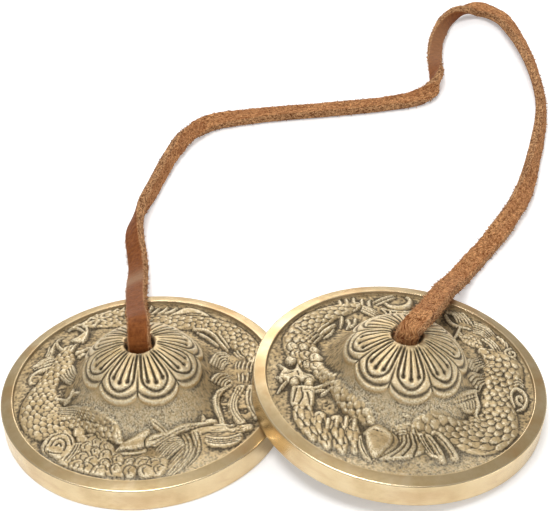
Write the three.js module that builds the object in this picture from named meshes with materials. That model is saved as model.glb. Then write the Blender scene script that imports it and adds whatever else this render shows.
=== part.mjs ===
// Tingsha: two small cast cymbals, one lying flat and one leaning on its rim,
// joined by a single flat leather thong that is knotted inside each dome.
// Millimetres, +Z up, the table at z = 0. The pair's centres lie along X.
import * as THREE from 'three';

// Cymbal
const cymbalRadius = 35;
const wallHeight = 6;
const footEdge = 0.3;
const bevelWidth = 2.9;
const bevelRise = 0.75;
const groundDepth = 0.8;
const groundStep = 0.5;
const domeRadius = 19;
const domeHeight = 13.35;
const crownThickness = 3.2;
const holeLip = 0.4;
const rimWidth = 5.5;
const rimStep = 0.9;
const plateThickness = 3.55;
const hollowRadius = 16;
const turnSegments = 96;
const domeRings = 15;
const groundRings = 12;
const stepsPerPoint = 12;

// Relief cast on the face
const lotusRadius = 14.5;
const petalCount = 8;
const petalHeight = 0.55;
const petalNotch = 1.7;
const petalEdge = 0.75;
const leftSeamDegrees = -86.5;
const rightSeamDegrees = -108;
const bodyHeight = 0.85;
const ridgeHeight = 0.75;
const swellHeight = 0.4;
const reliefStart = 15;
const reliefFade = 2;

// How the pair lies
const rimOverlap = 9;
const seatGap = 0.3;

// Thong
const strapWidth = 5.5;
const strapThickness = 2.7;
const strapCorner = 0.5;
const strapClearance = 0.64;
const strapSteps = 2;
const knotHold = 1.7;
const knotHeight = 7;
const knotSegments = 20;

// Levels and radii that follow from those
const centreDistance = 2 * cymbalRadius - rimOverlap;
const crownLevel = wallHeight + domeHeight;
const bevelLevel = wallHeight + bevelRise;
const bevelRadius = cymbalRadius - bevelWidth;
const groundLevel = bevelLevel - groundDepth;
const plateLevel = groundLevel - plateThickness;
const crownUnderside = crownLevel - crownThickness;
const holeRadius = Math.hypot(strapWidth, strapThickness) / 2 + strapClearance;

// Dome outline as shares of the dome's radius and height, from the crown out
const domeShares = [
  [0.27, 0.985], [0.37, 0.93], [0.48, 0.86], [0.57, 0.78], [0.66, 0.675],
  [0.73, 0.545], [0.79, 0.405], [0.85, 0.275], [0.92, 0.155], [1.01, 0.045],
];

// Hollow under the dome as shares of its radius and height, from the plate in
const hollowShares = [
  [1.12, 0], [1, 0.12], [0.88, 0.42], [0.75, 0.68], [0.6, 0.87], [0.42, 0.97],
];

// Lines of the relief. Each point is its place right and back of the cymbal's
// centre and its half width, as shares of the cymbal's radius.
const leftBodyShares = [
  [[-0.53, 0.64, 0.05], [-0.43, 0.7, 0.09], [-0.29, 0.73, 0.1], [-0.14, 0.71, 0.09], [0, 0.7, 0.08],
    [0.14, 0.69, 0.08], [0.27, 0.69, 0.08], [0.4, 0.65, 0.09], [0.53, 0.58, 0.1], [0.63, 0.48, 0.1],
    [0.7, 0.37, 0.08], [0.73, 0.29, 0.04]],
  [[-0.49, -0.5, 0.07], [-0.56, -0.45, 0.13], [-0.65, -0.35, 0.16], [-0.69, -0.23, 0.14],
    [-0.7, -0.1, 0.1], [-0.69, 0.01, 0.08], [-0.66, 0.1, 0.08], [-0.62, 0.19, 0.08],
    [-0.62, 0.27, 0.07], [-0.62, 0.36, 0.04]],
  [[-0.57, -0.33, 0.07], [-0.49, -0.35, 0.09], [-0.39, -0.38, 0.08], [-0.29, -0.42, 0.07],
    [-0.2, -0.47, 0.06], [-0.13, -0.51, 0.05], [-0.07, -0.57, 0.03]],
  [[-0.35, -0.53, 0.04], [-0.3, -0.55, 0.07], [-0.23, -0.6, 0.09], [-0.17, -0.66, 0.07],
    [-0.13, -0.69, 0.05]],
  [[-0.45, -0.75, 0.03], [-0.35, -0.75, 0.06], [-0.26, -0.76, 0.08], [-0.15, -0.78, 0.08]],
];
const leftRidgeShares = [
  [[0.08, -0.59, 0.02], [0.13, -0.53, 0.02], [0.2, -0.49, 0.03], [0.29, -0.45, 0.03],
    [0.39, -0.4, 0.03], [0.5, -0.37, 0.03]],
  [[-0.1, -0.63, 0.03], [-0.03, -0.58, 0.05], [0.05, -0.54, 0.06], [0.1, -0.49, 0.04]],
  [[-0.57, -0.65, 0.02], [-0.56, -0.57, 0.02], [-0.53, -0.51, 0.02], [-0.47, -0.5, 0.02],
    [-0.42, -0.53, 0.02], [-0.4, -0.59, 0.02]],
  [[-0.66, 0.57, 0.01], [-0.62, 0.61, 0.02], [-0.57, 0.64, 0.02], [-0.53, 0.61, 0.02],
    [-0.51, 0.56, 0.03], [-0.51, 0.48, 0.03]],
  [[0.05, 0.75, 0.02], [0.14, 0.81, 0.03], [0.24, 0.82, 0.04], [0.34, 0.78, 0.02]],
  [[-0.42, 0.75, 0.03], [-0.38, 0.8, 0.03], [-0.33, 0.85, 0.01]],
  [[0.56, 0, 0.02], [0.51, -0.09, 0.02], [0.51, -0.15, 0.02], [0.54, -0.24, 0.02],
    [0.58, -0.31, 0.02], [0.6, -0.37, 0.02]],
  [[0.66, 0.03, 0.04], [0.64, -0.1, 0.04], [0.65, -0.2, 0.03], [0.69, -0.28, 0.04],
    [0.73, -0.35, 0.03]],
  [[0.47, 0.14, 0.04], [0.49, 0.24, 0.04], [0.52, 0.3, 0.04], [0.57, 0.28, 0.03], [0.6, 0.24, 0.03]],
  [[0.5, -0.02, 0.03], [0.51, 0.03, 0.04], [0.55, 0.08, 0.04], [0.6, 0.08, 0.03], [0.63, 0.03, 0.03]],
  [[-0.6, -0.16, 0.02], [-0.52, -0.18, 0.02], [-0.44, -0.23, 0.02]],
  [[0.47, -0.49, 0.02], [0.56, -0.52, 0.03], [0.65, -0.52, 0.03], [0.73, -0.48, 0.02]],
  [[-0.68, 0.27, 0.05], [-0.75, 0.23, 0.05], [-0.82, 0.17, 0.03]],
];
const leftSwellShares = [
  [[-0.05, -0.68, 0.1], [0.1, -0.62, 0.14], [0.25, -0.6, 0.17], [0.42, -0.5, 0.13],
    [0.6, -0.46, 0.12], [0.73, -0.42, 0.08]],
  [[-0.15, -0.8, 0.05], [0.05, -0.8, 0.07], [0.25, -0.75, 0.09], [0.33, -0.7, 0.08]],
  [[0.5, 0.28, 0.06], [0.58, 0.2, 0.12], [0.63, 0.05, 0.15], [0.65, -0.1, 0.15],
    [0.68, -0.25, 0.12], [0.72, -0.33, 0.1]],
];
const rightBodyShares = [
  [[-0.31, 0.73, 0.04], [-0.4, 0.68, 0.06], [-0.5, 0.61, 0.08], [-0.61, 0.51, 0.09],
    [-0.69, 0.39, 0.11], [-0.7, 0.26, 0.12], [-0.66, 0.13, 0.11], [-0.6, 0.04, 0.07]],
  [[-0.19, -0.49, 0.03], [-0.24, -0.45, 0.05], [-0.31, -0.39, 0.06], [-0.38, -0.31, 0.05],
    [-0.43, -0.23, 0.04], [-0.49, -0.13, 0.04], [-0.54, -0.05, 0.05], [-0.57, 0.04, 0.03]],
  [[0.58, 0.37, 0.03], [0.63, 0.33, 0.07], [0.7, 0.25, 0.14], [0.71, 0.11, 0.14], [0.67, 0, 0.11],
    [0.65, -0.14, 0.11], [0.66, -0.27, 0.12], [0.61, -0.39, 0.15], [0.51, -0.47, 0.14],
    [0.4, -0.47, 0.11], [0.29, -0.45, 0.08], [0.19, -0.47, 0.07], [0.11, -0.5, 0.05],
    [0.08, -0.54, 0.02]],
  [[-0.65, -0.3, 0.06], [-0.64, -0.38, 0.07], [-0.61, -0.48, 0.08], [-0.54, -0.57, 0.11],
    [-0.44, -0.6, 0.13], [-0.33, -0.58, 0.1]],
  [[0.42, 0.53, 0.02], [0.47, 0.49, 0.05], [0.54, 0.44, 0.05], [0.57, 0.4, 0.02]],
];
const rightRidgeShares = [
  [[-0.85, 0, 0.05], [-0.78, -0.02, 0.06], [-0.7, -0.02, 0.06], [-0.6, -0.04, 0.06]],
  [[-0.82, 0.04, 0.02], [-0.81, 0.14, 0.01]],
  [[-0.75, 0.05, 0.02], [-0.74, 0.16, 0.01]],
  [[-0.74, -0.08, 0.02], [-0.73, -0.16, 0.02]],
  [[-0.67, -0.08, 0.02], [-0.65, -0.16, 0.02]],
  [[-0.1, 0.77, 0.01], [-0.06, 0.75, 0.03], [0, 0.75, 0.04], [0.05, 0.78, 0.03],
    [0.07, 0.83, 0.02], [0.04, 0.87, 0.01]],
  [[-0.22, -0.65, 0.02], [-0.21, -0.57, 0.02], [-0.18, -0.51, 0.02], [-0.13, -0.5, 0.02],
    [-0.07, -0.53, 0.02], [-0.02, -0.59, 0.02], [-0.01, -0.65, 0.02], [-0.05, -0.71, 0.02]],
  [[0.17, -0.53, 0.02], [0.23, -0.53, 0.03], [0.3, -0.59, 0.04], [0.34, -0.66, 0.03],
    [0.37, -0.73, 0.01]],
  [[0.13, -0.57, 0.01], [0.17, -0.61, 0.03], [0.22, -0.67, 0.03], [0.26, -0.74, 0.01]],
  [[-0.27, -0.59, 0.02], [-0.26, -0.67, 0.02], [-0.22, -0.74, 0.02], [-0.17, -0.8, 0.01]],
  [[0.32, -0.31, 0.02], [0.39, -0.23, 0.02], [0.46, -0.15, 0.02], [0.5, -0.1, 0.02],
    [0.52, -0.21, 0.02], [0.5, -0.3, 0.02], [0.53, -0.35, 0.01]],
  [[0.33, 0.72, 0.03], [0.4, 0.68, 0.05], [0.46, 0.62, 0.05]],
  [[0.53, 0.62, 0.05], [0.6, 0.57, 0.05], [0.66, 0.5, 0.05]],
  [[0.76, 0.38, 0.04], [0.8, 0.34, 0.04]],
  [[0.79, -0.02, 0.04], [0.83, -0.09, 0.05], [0.82, -0.17, 0.04]],
  [[-0.56, 0.37, 0.03], [-0.52, 0.43, 0.03], [-0.47, 0.48, 0.02]],
];
const rightSwellShares = [
  [[0.38, 0.66, 0.08], [0.5, 0.58, 0.12], [0.63, 0.48, 0.1], [0.76, 0.38, 0.06]],
  [[-0.17, -0.68, 0.1], [0, -0.68, 0.12], [0.17, -0.68, 0.12], [0.3, -0.66, 0.09]],
  [[-0.24, 0.7, 0.08], [-0.1, 0.74, 0.1], [0.03, 0.74, 0.09]],
];

// Free stretch of the thong, hole to hole, as it lies: x, y, z, and the turn of
// its smooth side away from upward, in degrees
const strapRoute = [
  [-30.9, 1.3, 21.7, -2], [-31.4, 4.5, 22.4, -8], [-33.5, 13.3, 18.4, -14],
  [-37.1, 31.0, 10.3, -18], [-38.8, 41.0, 5.3, -18], [-41.0, 52.5, 2.3, -20],
  [-43.5, 68.0, 2.8, -36], [-44.0, 78.0, 3.0, -72], [-42.2, 88.5, 3.0, -102],
  [-38.8, 106.0, 3.0, -130], [-35.0, 118.5, 2.6, -154], [-28.5, 126.5, 2.1, -168],
  [-13.0, 131.6, 1.8, -178], [7.0, 135.2, 1.7, -180], [26.0, 138.7, 1.8, -180],
  [37.0, 142.5, 2.4, -160], [41.9, 147.8, 3.0, -95], [42.7, 155.0, 2.5, -22],
  [42.0, 168.0, 2.1, 10], [43.0, 182.5, 2.6, 24], [48.3, 196.0, 3.0, 44],
  [56.6, 201.5, 3.0, 58], [64.4, 195.3, 3.0, 66], [70.0, 179.0, 3.0, 72],
  [73.6, 157.0, 3.0, 76], [73.9, 133.0, 3.0, 82], [70.0, 108.5, 3.0, 104],
  [65.0, 88.0, 2.9, 136], [58.0, 71.5, 2.3, 160], [48.5, 52.8, 2.0, 174],
  [44.9, 44.6, 3.9, 177], [42.4, 33.0, 10.8, 179], [38.9, 16.5, 19.2, 180],
  [36.5, 6.4, 24.4, 180], [35.0, 2.6, 25.6, 180], [33.3, 0.4, 25.0, 180],
];

// The leaning cymbal's foot rests on the table at its far side and its underside
// passes over the highest ring of the flat one. The angle settles in a few rounds.
function leanAngle() {
  const seat = Math.max(bevelLevel, groundLevel + bodyHeight) + seatGap;
  let angle = 0;
  for (let round = 0; round < 20; round += 1) {
    angle = Math.atan(seat / (centreDistance + cymbalRadius * Math.cos(angle) - bevelRadius));
  }
  return angle;
}

const lean = leanAngle();

// The origin is the middle of the pair's box, on the table
const rightReach = centreDistance + cymbalRadius * Math.cos(lean) + wallHeight * Math.sin(lean);
const leftX = (cymbalRadius - rightReach) / 2;
const rightX = leftX + centreDistance;
const rightLift = cymbalRadius * Math.sin(lean);

// Height of the lotus at a point of the face: eight lobes with notches between,
// one of them at the seam's angle
function lotusRise(radius, angle, seamDegrees) {
  const fromSeam = angle - THREE.MathUtils.degToRad(seamDegrees);
  const lobe = Math.abs(Math.sin(fromSeam * petalCount / 2));
  const edge = lotusRadius - petalNotch * (1 - Math.sqrt(lobe));
  return petalHeight * THREE.MathUtils.smoothstep(edge - radius, -petalEdge, petalEdge);
}

// Lines of one height as smooth curves across the face
function reliefLines(lineShares, height) {
  return lineShares.map((shares) => {
    const points = shares.map(([right, back, halfWidth]) => (
      new THREE.Vector3(right, back, halfWidth).multiplyScalar(cymbalRadius)));
    return { height, points: new THREE.CatmullRomCurve3(points).getPoints(stepsPerPoint * points.length) };
  });
}

// Height of the relief at a point of the face: the highest line there, each round
// in section
function reliefRise(lines, x, y) {
  let rise = 0;
  for (const { height, points } of lines) {
    for (const point of points) {
      const share = Math.hypot(x - point.x, y - point.y) / point.z;
      if (share < 1) rise = Math.max(rise, height * Math.sqrt(1 - share * share));
    }
  }
  return rise;
}

// Section of a cymbal from the hole's mouth over the face and back underneath.
// The third value marks the points of the face, which carry the relief.
function cymbalSection() {
  const crownRise = crownLevel - groundLevel;
  const dome = new THREE.SplineCurve(domeShares.map(([radiusShare, heightShare]) => (
    new THREE.Vector2(domeRadius * radiusShare, groundLevel + crownRise * heightShare))));
  const groundEnd = bevelRadius - groundStep;
  const section = [
    [holeRadius, crownLevel - holeLip, false],
    [holeRadius + holeLip, crownLevel, false],
  ];
  for (const point of dome.getSpacedPoints(domeRings - 1)) {
    section.push([point.x, point.y, true]);
  }
  for (let ring = 1; ring <= groundRings; ring += 1) {
    const share = ring / (groundRings + 1);
    section.push([THREE.MathUtils.lerp(domeRadius, groundEnd, share), groundLevel, true]);
  }
  section.push([groundEnd, groundLevel, false]);
  section.push([bevelRadius, bevelLevel, false]);
  section.push([cymbalRadius, wallHeight, false]);
  section.push([cymbalRadius, footEdge, false]);
  section.push([cymbalRadius - footEdge, 0, false]);
  section.push([cymbalRadius - rimWidth, 0, false]);
  section.push([cymbalRadius - rimWidth - rimStep, plateLevel, false]);
  for (const [radiusShare, heightShare] of hollowShares) {
    const height = plateLevel + heightShare * (crownUnderside - plateLevel);
    section.push([hollowRadius * radiusShare, height, false]);
  }
  section.push([holeRadius, crownUnderside, false]);
  return section;
}

// A cymbal is its section turned about Z, with the relief raised square to the
// face. The section is a closed loop, because the hole goes right through, so the
// solid is closed all round.
function cymbalGeometry(lines, seamDegrees) {
  const section = cymbalSection();
  const positions = [];
  const indices = [];
  for (let turn = 0; turn < turnSegments; turn += 1) {
    const angle = 2 * Math.PI * turn / turnSegments;
    section.forEach(([radius, level, carries], i) => {
      const x = radius * Math.cos(angle);
      const y = radius * Math.sin(angle);
      let outward = radius;
      let upward = level;
      if (carries) {
        const [innerRadius, innerLevel] = section[i - 1];
        const [outerRadius, outerLevel] = section[i + 1];
        const square = new THREE.Vector2(innerLevel - outerLevel, outerRadius - innerRadius).normalize();
        const shows = THREE.MathUtils.smoothstep(radius, reliefStart, reliefStart + reliefFade);
        const rise = lotusRise(radius, angle, seamDegrees) + shows * reliefRise(lines, x, y);
        outward += rise * square.x;
        upward += rise * square.y;
      }
      positions.push(outward * Math.cos(angle), outward * Math.sin(angle), upward);
    });
  }
  const count = section.length;
  for (let turn = 0; turn < turnSegments; turn += 1) {
    const nextTurn = (turn + 1) % turnSegments;
    for (let i = 0; i < count; i += 1) {
      const next = (i + 1) % count;
      const a = turn * count + i;
      const b = turn * count + next;
      const c = nextTurn * count + next;
      const d = nextTurn * count + i;
      indices.push(a, b, c, a, c, d);
    }
  }
  const geometry = new THREE.BufferGeometry();
  geometry.setAttribute('position', new THREE.Float32BufferAttribute(positions, 3));
  geometry.setIndex(indices);
  geometry.computeVertexNormals();
  return geometry;
}

// The leather's section: a rectangle with its corners taken off, smooth side up
function strapSection() {
  const a = strapWidth / 2;
  const b = strapThickness / 2;
  const c = strapCorner;
  return [
    [a, c - b], [a, b - c], [a - c, b], [c - a, b],
    [-a, b - c], [-a, c - b], [c - a, -b], [a - c, -b],
  ];
}

// Points of the thong's middle line with their turns, from one dome to the other.
// The ends run straight through the holes, along each cymbal's axis.
function strapPoints() {
  const axis = new THREE.Vector3(Math.sin(lean), 0, Math.cos(lean));
  const rightFoot = new THREE.Vector3(rightX, 0, rightLift);
  const lastTurn = strapRoute[strapRoute.length - 1][3];
  return [
    { at: new THREE.Vector3(leftX, 0, crownUnderside), turn: 0 },
    { at: new THREE.Vector3(leftX, 0, crownLevel), turn: 0 },
    ...strapRoute.map(([x, y, z, turn]) => ({ at: new THREE.Vector3(x, y, z), turn })),
    { at: rightFoot.clone().addScaledVector(axis, crownLevel), turn: lastTurn },
    { at: rightFoot.clone().addScaledVector(axis, crownUnderside), turn: lastTurn },
  ];
}

// The direction that a turn of zero faces: upward along the table, and toward
// the front where the thong stands in a hole
function uprightAt(along) {
  const stands = THREE.MathUtils.smoothstep(Math.abs(along.z), 0.5, 0.95);
  const upright = new THREE.Vector3(0, -stands, 1 - stands);
  return upright.addScaledVector(along, -upright.dot(along)).normalize();
}

// The thong is its section carried along the curve and turned about it
function strapGeometry() {
  const points = strapPoints();
  const curve = new THREE.CatmullRomCurve3(points.map((point) => point.at));
  const section = strapSection();
  const spans = points.length - 1;
  const steps = spans * strapSteps;
  const positions = [];
  const indices = [];
  for (let step = 0; step <= steps; step += 1) {
    const share = step / steps;
    const span = Math.min(Math.floor(step / strapSteps), spans - 1);
    const within = step / strapSteps - span;
    const turn = THREE.MathUtils.lerp(points[span].turn, points[span + 1].turn, within);
    const centre = curve.getPoint(share);
    const along = curve.getTangent(share);
    const upright = uprightAt(along);
    const angle = THREE.MathUtils.degToRad(turn);
    const across = new THREE.Vector3().crossVectors(along, upright);
    const smoothSide = upright.clone().multiplyScalar(Math.cos(angle))
      .addScaledVector(across, Math.sin(angle));
    const edgeSide = new THREE.Vector3().crossVectors(smoothSide, along);
    for (const [sideways, upward] of section) {
      const corner = centre.clone()
        .addScaledVector(edgeSide, sideways)
        .addScaledVector(smoothSide, upward);
      positions.push(corner.x, corner.y, corner.z);
    }
  }
  const count = section.length;
  for (let step = 0; step < steps; step += 1) {
    for (let i = 0; i < count; i += 1) {
      const a = step * count + i;
      const b = step * count + (i + 1) % count;
      indices.push(a, b, b + count, a, b + count, a + count);
    }
  }
  const last = steps * count;
  for (let i = 1; i < count - 1; i += 1) {
    indices.push(0, i + 1, i);
    indices.push(last, last + i, last + i + 1);
  }
  const geometry = new THREE.BufferGeometry();
  geometry.setAttribute('position', new THREE.Float32BufferAttribute(positions, 3));
  geometry.setIndex(indices);
  geometry.computeVertexNormals();
  return geometry;
}

// A knot is a lump too wide for the hole, drawn up against the crown's underside
function knotGeometry() {
  const radius = holeRadius + knotHold;
  const outlineShares = [
    [0, 0], [0.45, 0.04], [0.8, 0.2], [1, 0.5], [0.9, 0.8], [0.6, 0.97], [0, 1],
  ];
  const outline = outlineShares.map(
    ([across, up]) => new THREE.Vector2(radius * across, knotHeight * up));
  const geometry = new THREE.LatheGeometry(outline, knotSegments);
  geometry.rotateX(Math.PI / 2);
  return geometry;
}

const brass = new THREE.MeshStandardMaterial({ color: 0xb89a63, metalness: 1, roughness: 0.34 });
const leather = new THREE.MeshStandardMaterial({ color: 0x9a6238, metalness: 0, roughness: 0.8 });

function named(name, geometry, material) {
  const mesh = new THREE.Mesh(geometry, material);
  mesh.name = name;
  return mesh;
}

function knot(name) {
  const mesh = named(name, knotGeometry(), leather);
  mesh.position.z = crownUnderside - seatGap - knotHeight;
  return mesh;
}

const leftSide = new THREE.Group();
leftSide.position.x = leftX;
leftSide.add(named('left_cymbal', cymbalGeometry([
  ...reliefLines(leftBodyShares, bodyHeight),
  ...reliefLines(leftRidgeShares, ridgeHeight),
  ...reliefLines(leftSwellShares, swellHeight),
], leftSeamDegrees), brass));
leftSide.add(knot('left_knot'));

const rightSide = new THREE.Group();
rightSide.position.set(rightX, 0, rightLift);
rightSide.rotation.y = lean;
rightSide.add(named('right_cymbal', cymbalGeometry([
  ...reliefLines(rightBodyShares, bodyHeight),
  ...reliefLines(rightRidgeShares, ridgeHeight),
  ...reliefLines(rightSwellShares, swellHeight),
], rightSeamDegrees), brass));
rightSide.add(knot('right_knot'));

const tingsha = new THREE.Group();
tingsha.add(leftSide, rightSide, named('strap', strapGeometry(), leather));

export default tingsha;
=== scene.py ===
import math
import bpy
import numpy as np
from mathutils import Matrix, Vector


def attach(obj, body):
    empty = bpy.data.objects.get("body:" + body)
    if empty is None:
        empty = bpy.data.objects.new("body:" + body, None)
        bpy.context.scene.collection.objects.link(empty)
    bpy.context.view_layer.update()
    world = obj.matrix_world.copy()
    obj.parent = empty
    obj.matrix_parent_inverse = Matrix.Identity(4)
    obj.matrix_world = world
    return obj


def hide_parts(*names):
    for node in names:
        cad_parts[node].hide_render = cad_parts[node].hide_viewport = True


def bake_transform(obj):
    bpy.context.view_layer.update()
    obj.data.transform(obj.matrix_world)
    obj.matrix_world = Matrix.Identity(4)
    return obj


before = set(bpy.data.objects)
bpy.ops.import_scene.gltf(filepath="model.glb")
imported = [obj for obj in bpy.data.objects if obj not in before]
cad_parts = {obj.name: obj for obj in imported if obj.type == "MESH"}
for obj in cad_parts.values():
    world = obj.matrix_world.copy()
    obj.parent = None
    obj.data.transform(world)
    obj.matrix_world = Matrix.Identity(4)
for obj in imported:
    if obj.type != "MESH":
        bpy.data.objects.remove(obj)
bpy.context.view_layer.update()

MM = 0.001

# Sizes of the cymbals, in millimetres, as in the CAD
RADIUS = 35.0
WALL = 6.0
BEVEL_WIDTH = 2.9
BEVEL_RISE = 0.75
GROUND_DEPTH = 0.8
DOME_RADIUS = 19.0
DOME_HEIGHT = 13.35
CROWN_THICKNESS = 3.2
RIM_WIDTH = 5.5
RIM_STEP = 0.9
PLATE = 3.55
HOLLOW_RADIUS = 16.0
CENTRES = 61.0
SEAT_GAP = 0.3
BODY_HEIGHT = 0.85
STRAP_WIDTH = 5.5
STRAP_THICKNESS = 2.7
CLEARANCE = 0.64
# The photo's hole is a little narrower than the CAD's
HOLE_TRIM = 0.28
CROWN = WALL + DOME_HEIGHT
BEVEL = WALL + BEVEL_RISE
BEVEL_RADIUS = RADIUS - BEVEL_WIDTH
GROUND = BEVEL - GROUND_DEPTH
PLATE_LEVEL = GROUND - PLATE
UNDER_CROWN = CROWN - CROWN_THICKNESS
HOLE = math.hypot(STRAP_WIDTH, STRAP_THICKNESS) / 2 + CLEARANCE - HOLE_TRIM

# Leather stays this far above the table
TABLE_GAP = 0.04

# The second cymbal leans on the first one's rim
LEAN = 0.0
for _ in range(20):
    seat = max(BEVEL, GROUND + BODY_HEIGHT) + SEAT_GAP
    LEAN = math.atan(seat / (CENTRES + RADIUS * math.cos(LEAN) - BEVEL_RADIUS))
REACH = CENTRES + RADIUS * math.cos(LEAN) + WALL * math.sin(LEAN)
LEFT_X = (RADIUS - REACH) / 2
RIGHT_X = LEFT_X + CENTRES
RIGHT_LIFT = RADIUS * math.sin(LEAN)
LEFT_PLACE = Matrix.Translation((LEFT_X, 0, 0))
RIGHT_PLACE = Matrix.Translation((RIGHT_X, 0, RIGHT_LIFT)) @ Matrix.Rotation(LEAN, 4, "Y")


def place(points, matrix):
    """Points of a cymbal's own frame, set where the cymbal lies."""
    m = np.array(matrix)
    return points @ m[:3, :3].T + m[:3, 3]


def smoothstep(x, low, high):
    """0 below low, 1 above high and a smooth rise between."""
    t = np.clip((x - low) / (high - low), 0, 1)
    return t * t * (3 - 2 * t)


def lattice(x, y, cell, seed):
    """Smooth random values from -1 to 1 over the face, from corners that lie cell mm apart."""
    u, v = x / cell, y / cell
    i, j = np.floor(u), np.floor(v)
    fu, fv = smoothstep(u - i, 0, 1), smoothstep(v - j, 0, 1)

    def corner(a, b):
        return 2 * np.modf(np.abs(np.sin(a * 127.1 + b * 311.7 + seed) * 43758.5453))[0] - 1

    near = corner(i, j) * (1 - fu) + corner(i + 1, j) * fu
    far = corner(i, j + 1) * (1 - fu) + corner(i + 1, j + 1) * fu
    return near * (1 - fv) + far * fv


def catmull(points, per_span):
    """A Catmull-Rom curve through the points, with per_span steps in each span."""
    p = np.asarray(points, float)
    p = np.vstack([2 * p[0] - p[1], p, 2 * p[-1] - p[-2]])
    out = []
    for i in range(1, len(p) - 2):
        p0, p1, p2, p3 = p[i - 1:i + 3]
        d0, d1, d2 = (max(np.sqrt(np.linalg.norm(b[:3] - a[:3])), 1e-4)
                      for a, b in ((p0, p1), (p1, p2), (p2, p3)))
        t1 = ((p1 - p0) / d0 - (p2 - p0) / (d0 + d1) + (p2 - p1) / d1) * d1
        t2 = ((p2 - p1) / d1 - (p3 - p1) / (d1 + d2) + (p3 - p2) / d2) * d1
        t = (np.arange(per_span) / per_span)[:, None]
        out.append(p1 + t1 * t + (-3 * p1 + 3 * p2 - 2 * t1 - t2) * t**2
                   + (2 * p1 - 2 * p2 + t1 + t2) * t**3)
    out.append(p[-2][None])
    return np.vstack(out)


def mesh_object(name, points, faces, material, attributes=None):
    """A smooth-shaded mesh from points in mm and lists of faces of equal corner counts."""
    mesh = bpy.data.meshes.new(name)
    mesh.vertices.add(len(points))
    mesh.vertices.foreach_set("co", (np.asarray(points) * MM).astype(np.float32).ravel())
    corners = np.concatenate([np.asarray(f).ravel() for f in faces]).astype(np.int32)
    totals = np.concatenate([np.full(len(f), np.shape(f)[1]) for f in faces]).astype(np.int32)
    starts = np.concatenate([[0], np.cumsum(totals)[:-1]]).astype(np.int32)
    mesh.loops.add(len(corners))
    mesh.loops.foreach_set("vertex_index", corners)
    mesh.polygons.add(len(totals))
    mesh.polygons.foreach_set("loop_start", starts)
    mesh.polygons.foreach_set("loop_total", totals)
    mesh.polygons.foreach_set("use_smooth", np.ones(len(totals), bool))
    for key, values in (attributes or {}).items():
        values = np.asarray(values, np.float32)
        kind = "FLOAT" if values.ndim == 1 else "FLOAT_VECTOR"
        layer = mesh.attributes.new(key, kind, "POINT")
        layer.data.foreach_set("value" if values.ndim == 1 else "vector", values.ravel())
    mesh.update(calc_edges=True)
    mesh.validate()
    obj = bpy.data.objects.new(name, mesh)
    bpy.context.scene.collection.objects.link(obj)
    mesh.materials.append(material)
    return obj


# Camera
camera_data = bpy.data.cameras.new("camera")
camera = bpy.data.objects.new("camera", camera_data)
bpy.context.scene.collection.objects.link(camera)
bpy.context.scene.camera = camera
camera_data.lens = 94.5
camera_data.sensor_width = 36.0
camera_data.clip_start = 0.01
ELEVATION, AZIMUTH, ROLL, DISTANCE = math.radians(37.164), math.radians(6.039), -0.0544, 400.5
TARGET = Vector((-3.712, 60.797, 0))
back = Vector((math.sin(AZIMUTH) * math.cos(ELEVATION),
               -math.cos(AZIMUTH) * math.cos(ELEVATION), math.sin(ELEVATION)))
side = Vector((math.cos(AZIMUTH), math.sin(AZIMUTH), 0))
top = back.cross(side)
right = side * math.cos(ROLL) + top * math.sin(ROLL)
up = top * math.cos(ROLL) - side * math.sin(ROLL)
turn = Matrix((right, up, back)).transposed()
camera.matrix_world = Matrix.Translation((TARGET + back * DISTANCE) * MM) @ turn.to_4x4()


# Materials
def material(name):
    """A new material with its node tree and its shader."""
    m = bpy.data.materials.new(name)
    m.use_nodes = True
    m.node_tree.nodes.clear()
    out = m.node_tree.nodes.new("ShaderNodeOutputMaterial")
    shader = m.node_tree.nodes.new("ShaderNodeBsdfPrincipled")
    m.node_tree.links.new(shader.outputs[0], out.inputs[0])
    return m, m.node_tree, shader


def node(tree, kind, inputs=None, **settings):
    """A new node; each input is a value or the socket that feeds it."""
    n = tree.nodes.new(kind)
    for key, value in settings.items():
        setattr(n, key, value)
    for key, value in (inputs or {}).items():
        socket = n.inputs[key]
        if isinstance(value, bpy.types.NodeSocket):
            tree.links.new(value, socket)
        else:
            socket.default_value = value
    return n


def attribute(tree, name, vector=False):
    n = node(tree, "ShaderNodeAttribute", attribute_name=name)
    return n.outputs["Vector" if vector else "Fac"]


def maths(tree, operation, a, b=0.0, c=0.0, clamp=False):
    return node(tree, "ShaderNodeMath", {0: a, 1: b, 2: c}, operation=operation, use_clamp=clamp).outputs[0]


def times(tree, a, b, clamp=False):
    return maths(tree, "MULTIPLY", a, b, clamp=clamp)


def plus(tree, a, b, clamp=False):
    return maths(tree, "ADD", a, b, clamp=clamp)


def noise(tree, vector, scale, detail=3.0, roughness=0.55, distortion=0.0):
    return node(tree, "ShaderNodeTexNoise", {"Vector": vector, "Scale": scale, "Detail": detail,
                "Roughness": roughness, "Distortion": distortion}).outputs["Fac"]


def remap(tree, value, low, high, new_low=0.0, new_high=1.0):
    n = node(tree, "ShaderNodeMapRange", {"Value": value, "From Min": low, "From Max": high,
             "To Min": new_low, "To Max": new_high}, clamp=True)
    return n.outputs["Result"]


def mix(tree, factor, a, b):
    """One colour turning into another as the factor goes from 0 to 1."""
    return node(tree, "ShaderNodeMix", {0: factor, 6: a, 7: b}, data_type="RGBA").outputs[2]


def stretched(tree, vector, scale):
    return node(tree, "ShaderNodeVectorMath", {0: vector, 1: scale}, operation="MULTIPLY").outputs[0]


def bump(tree, height, strength, distance, normal=None):
    inputs = {"Height": height, "Strength": strength, "Distance": distance}
    if normal is not None:
        inputs["Normal"] = normal
    return node(tree, "ShaderNodeBump", inputs).outputs[0]


def linear(*rgb):
    """An opaque sRGB colour of 0 to 255 as linear light."""
    return (*(((c / 255 + 0.055) / 1.055) ** 2.4 if c > 10 else c / 255 / 12.92 for c in rgb), 1.0)


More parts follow.
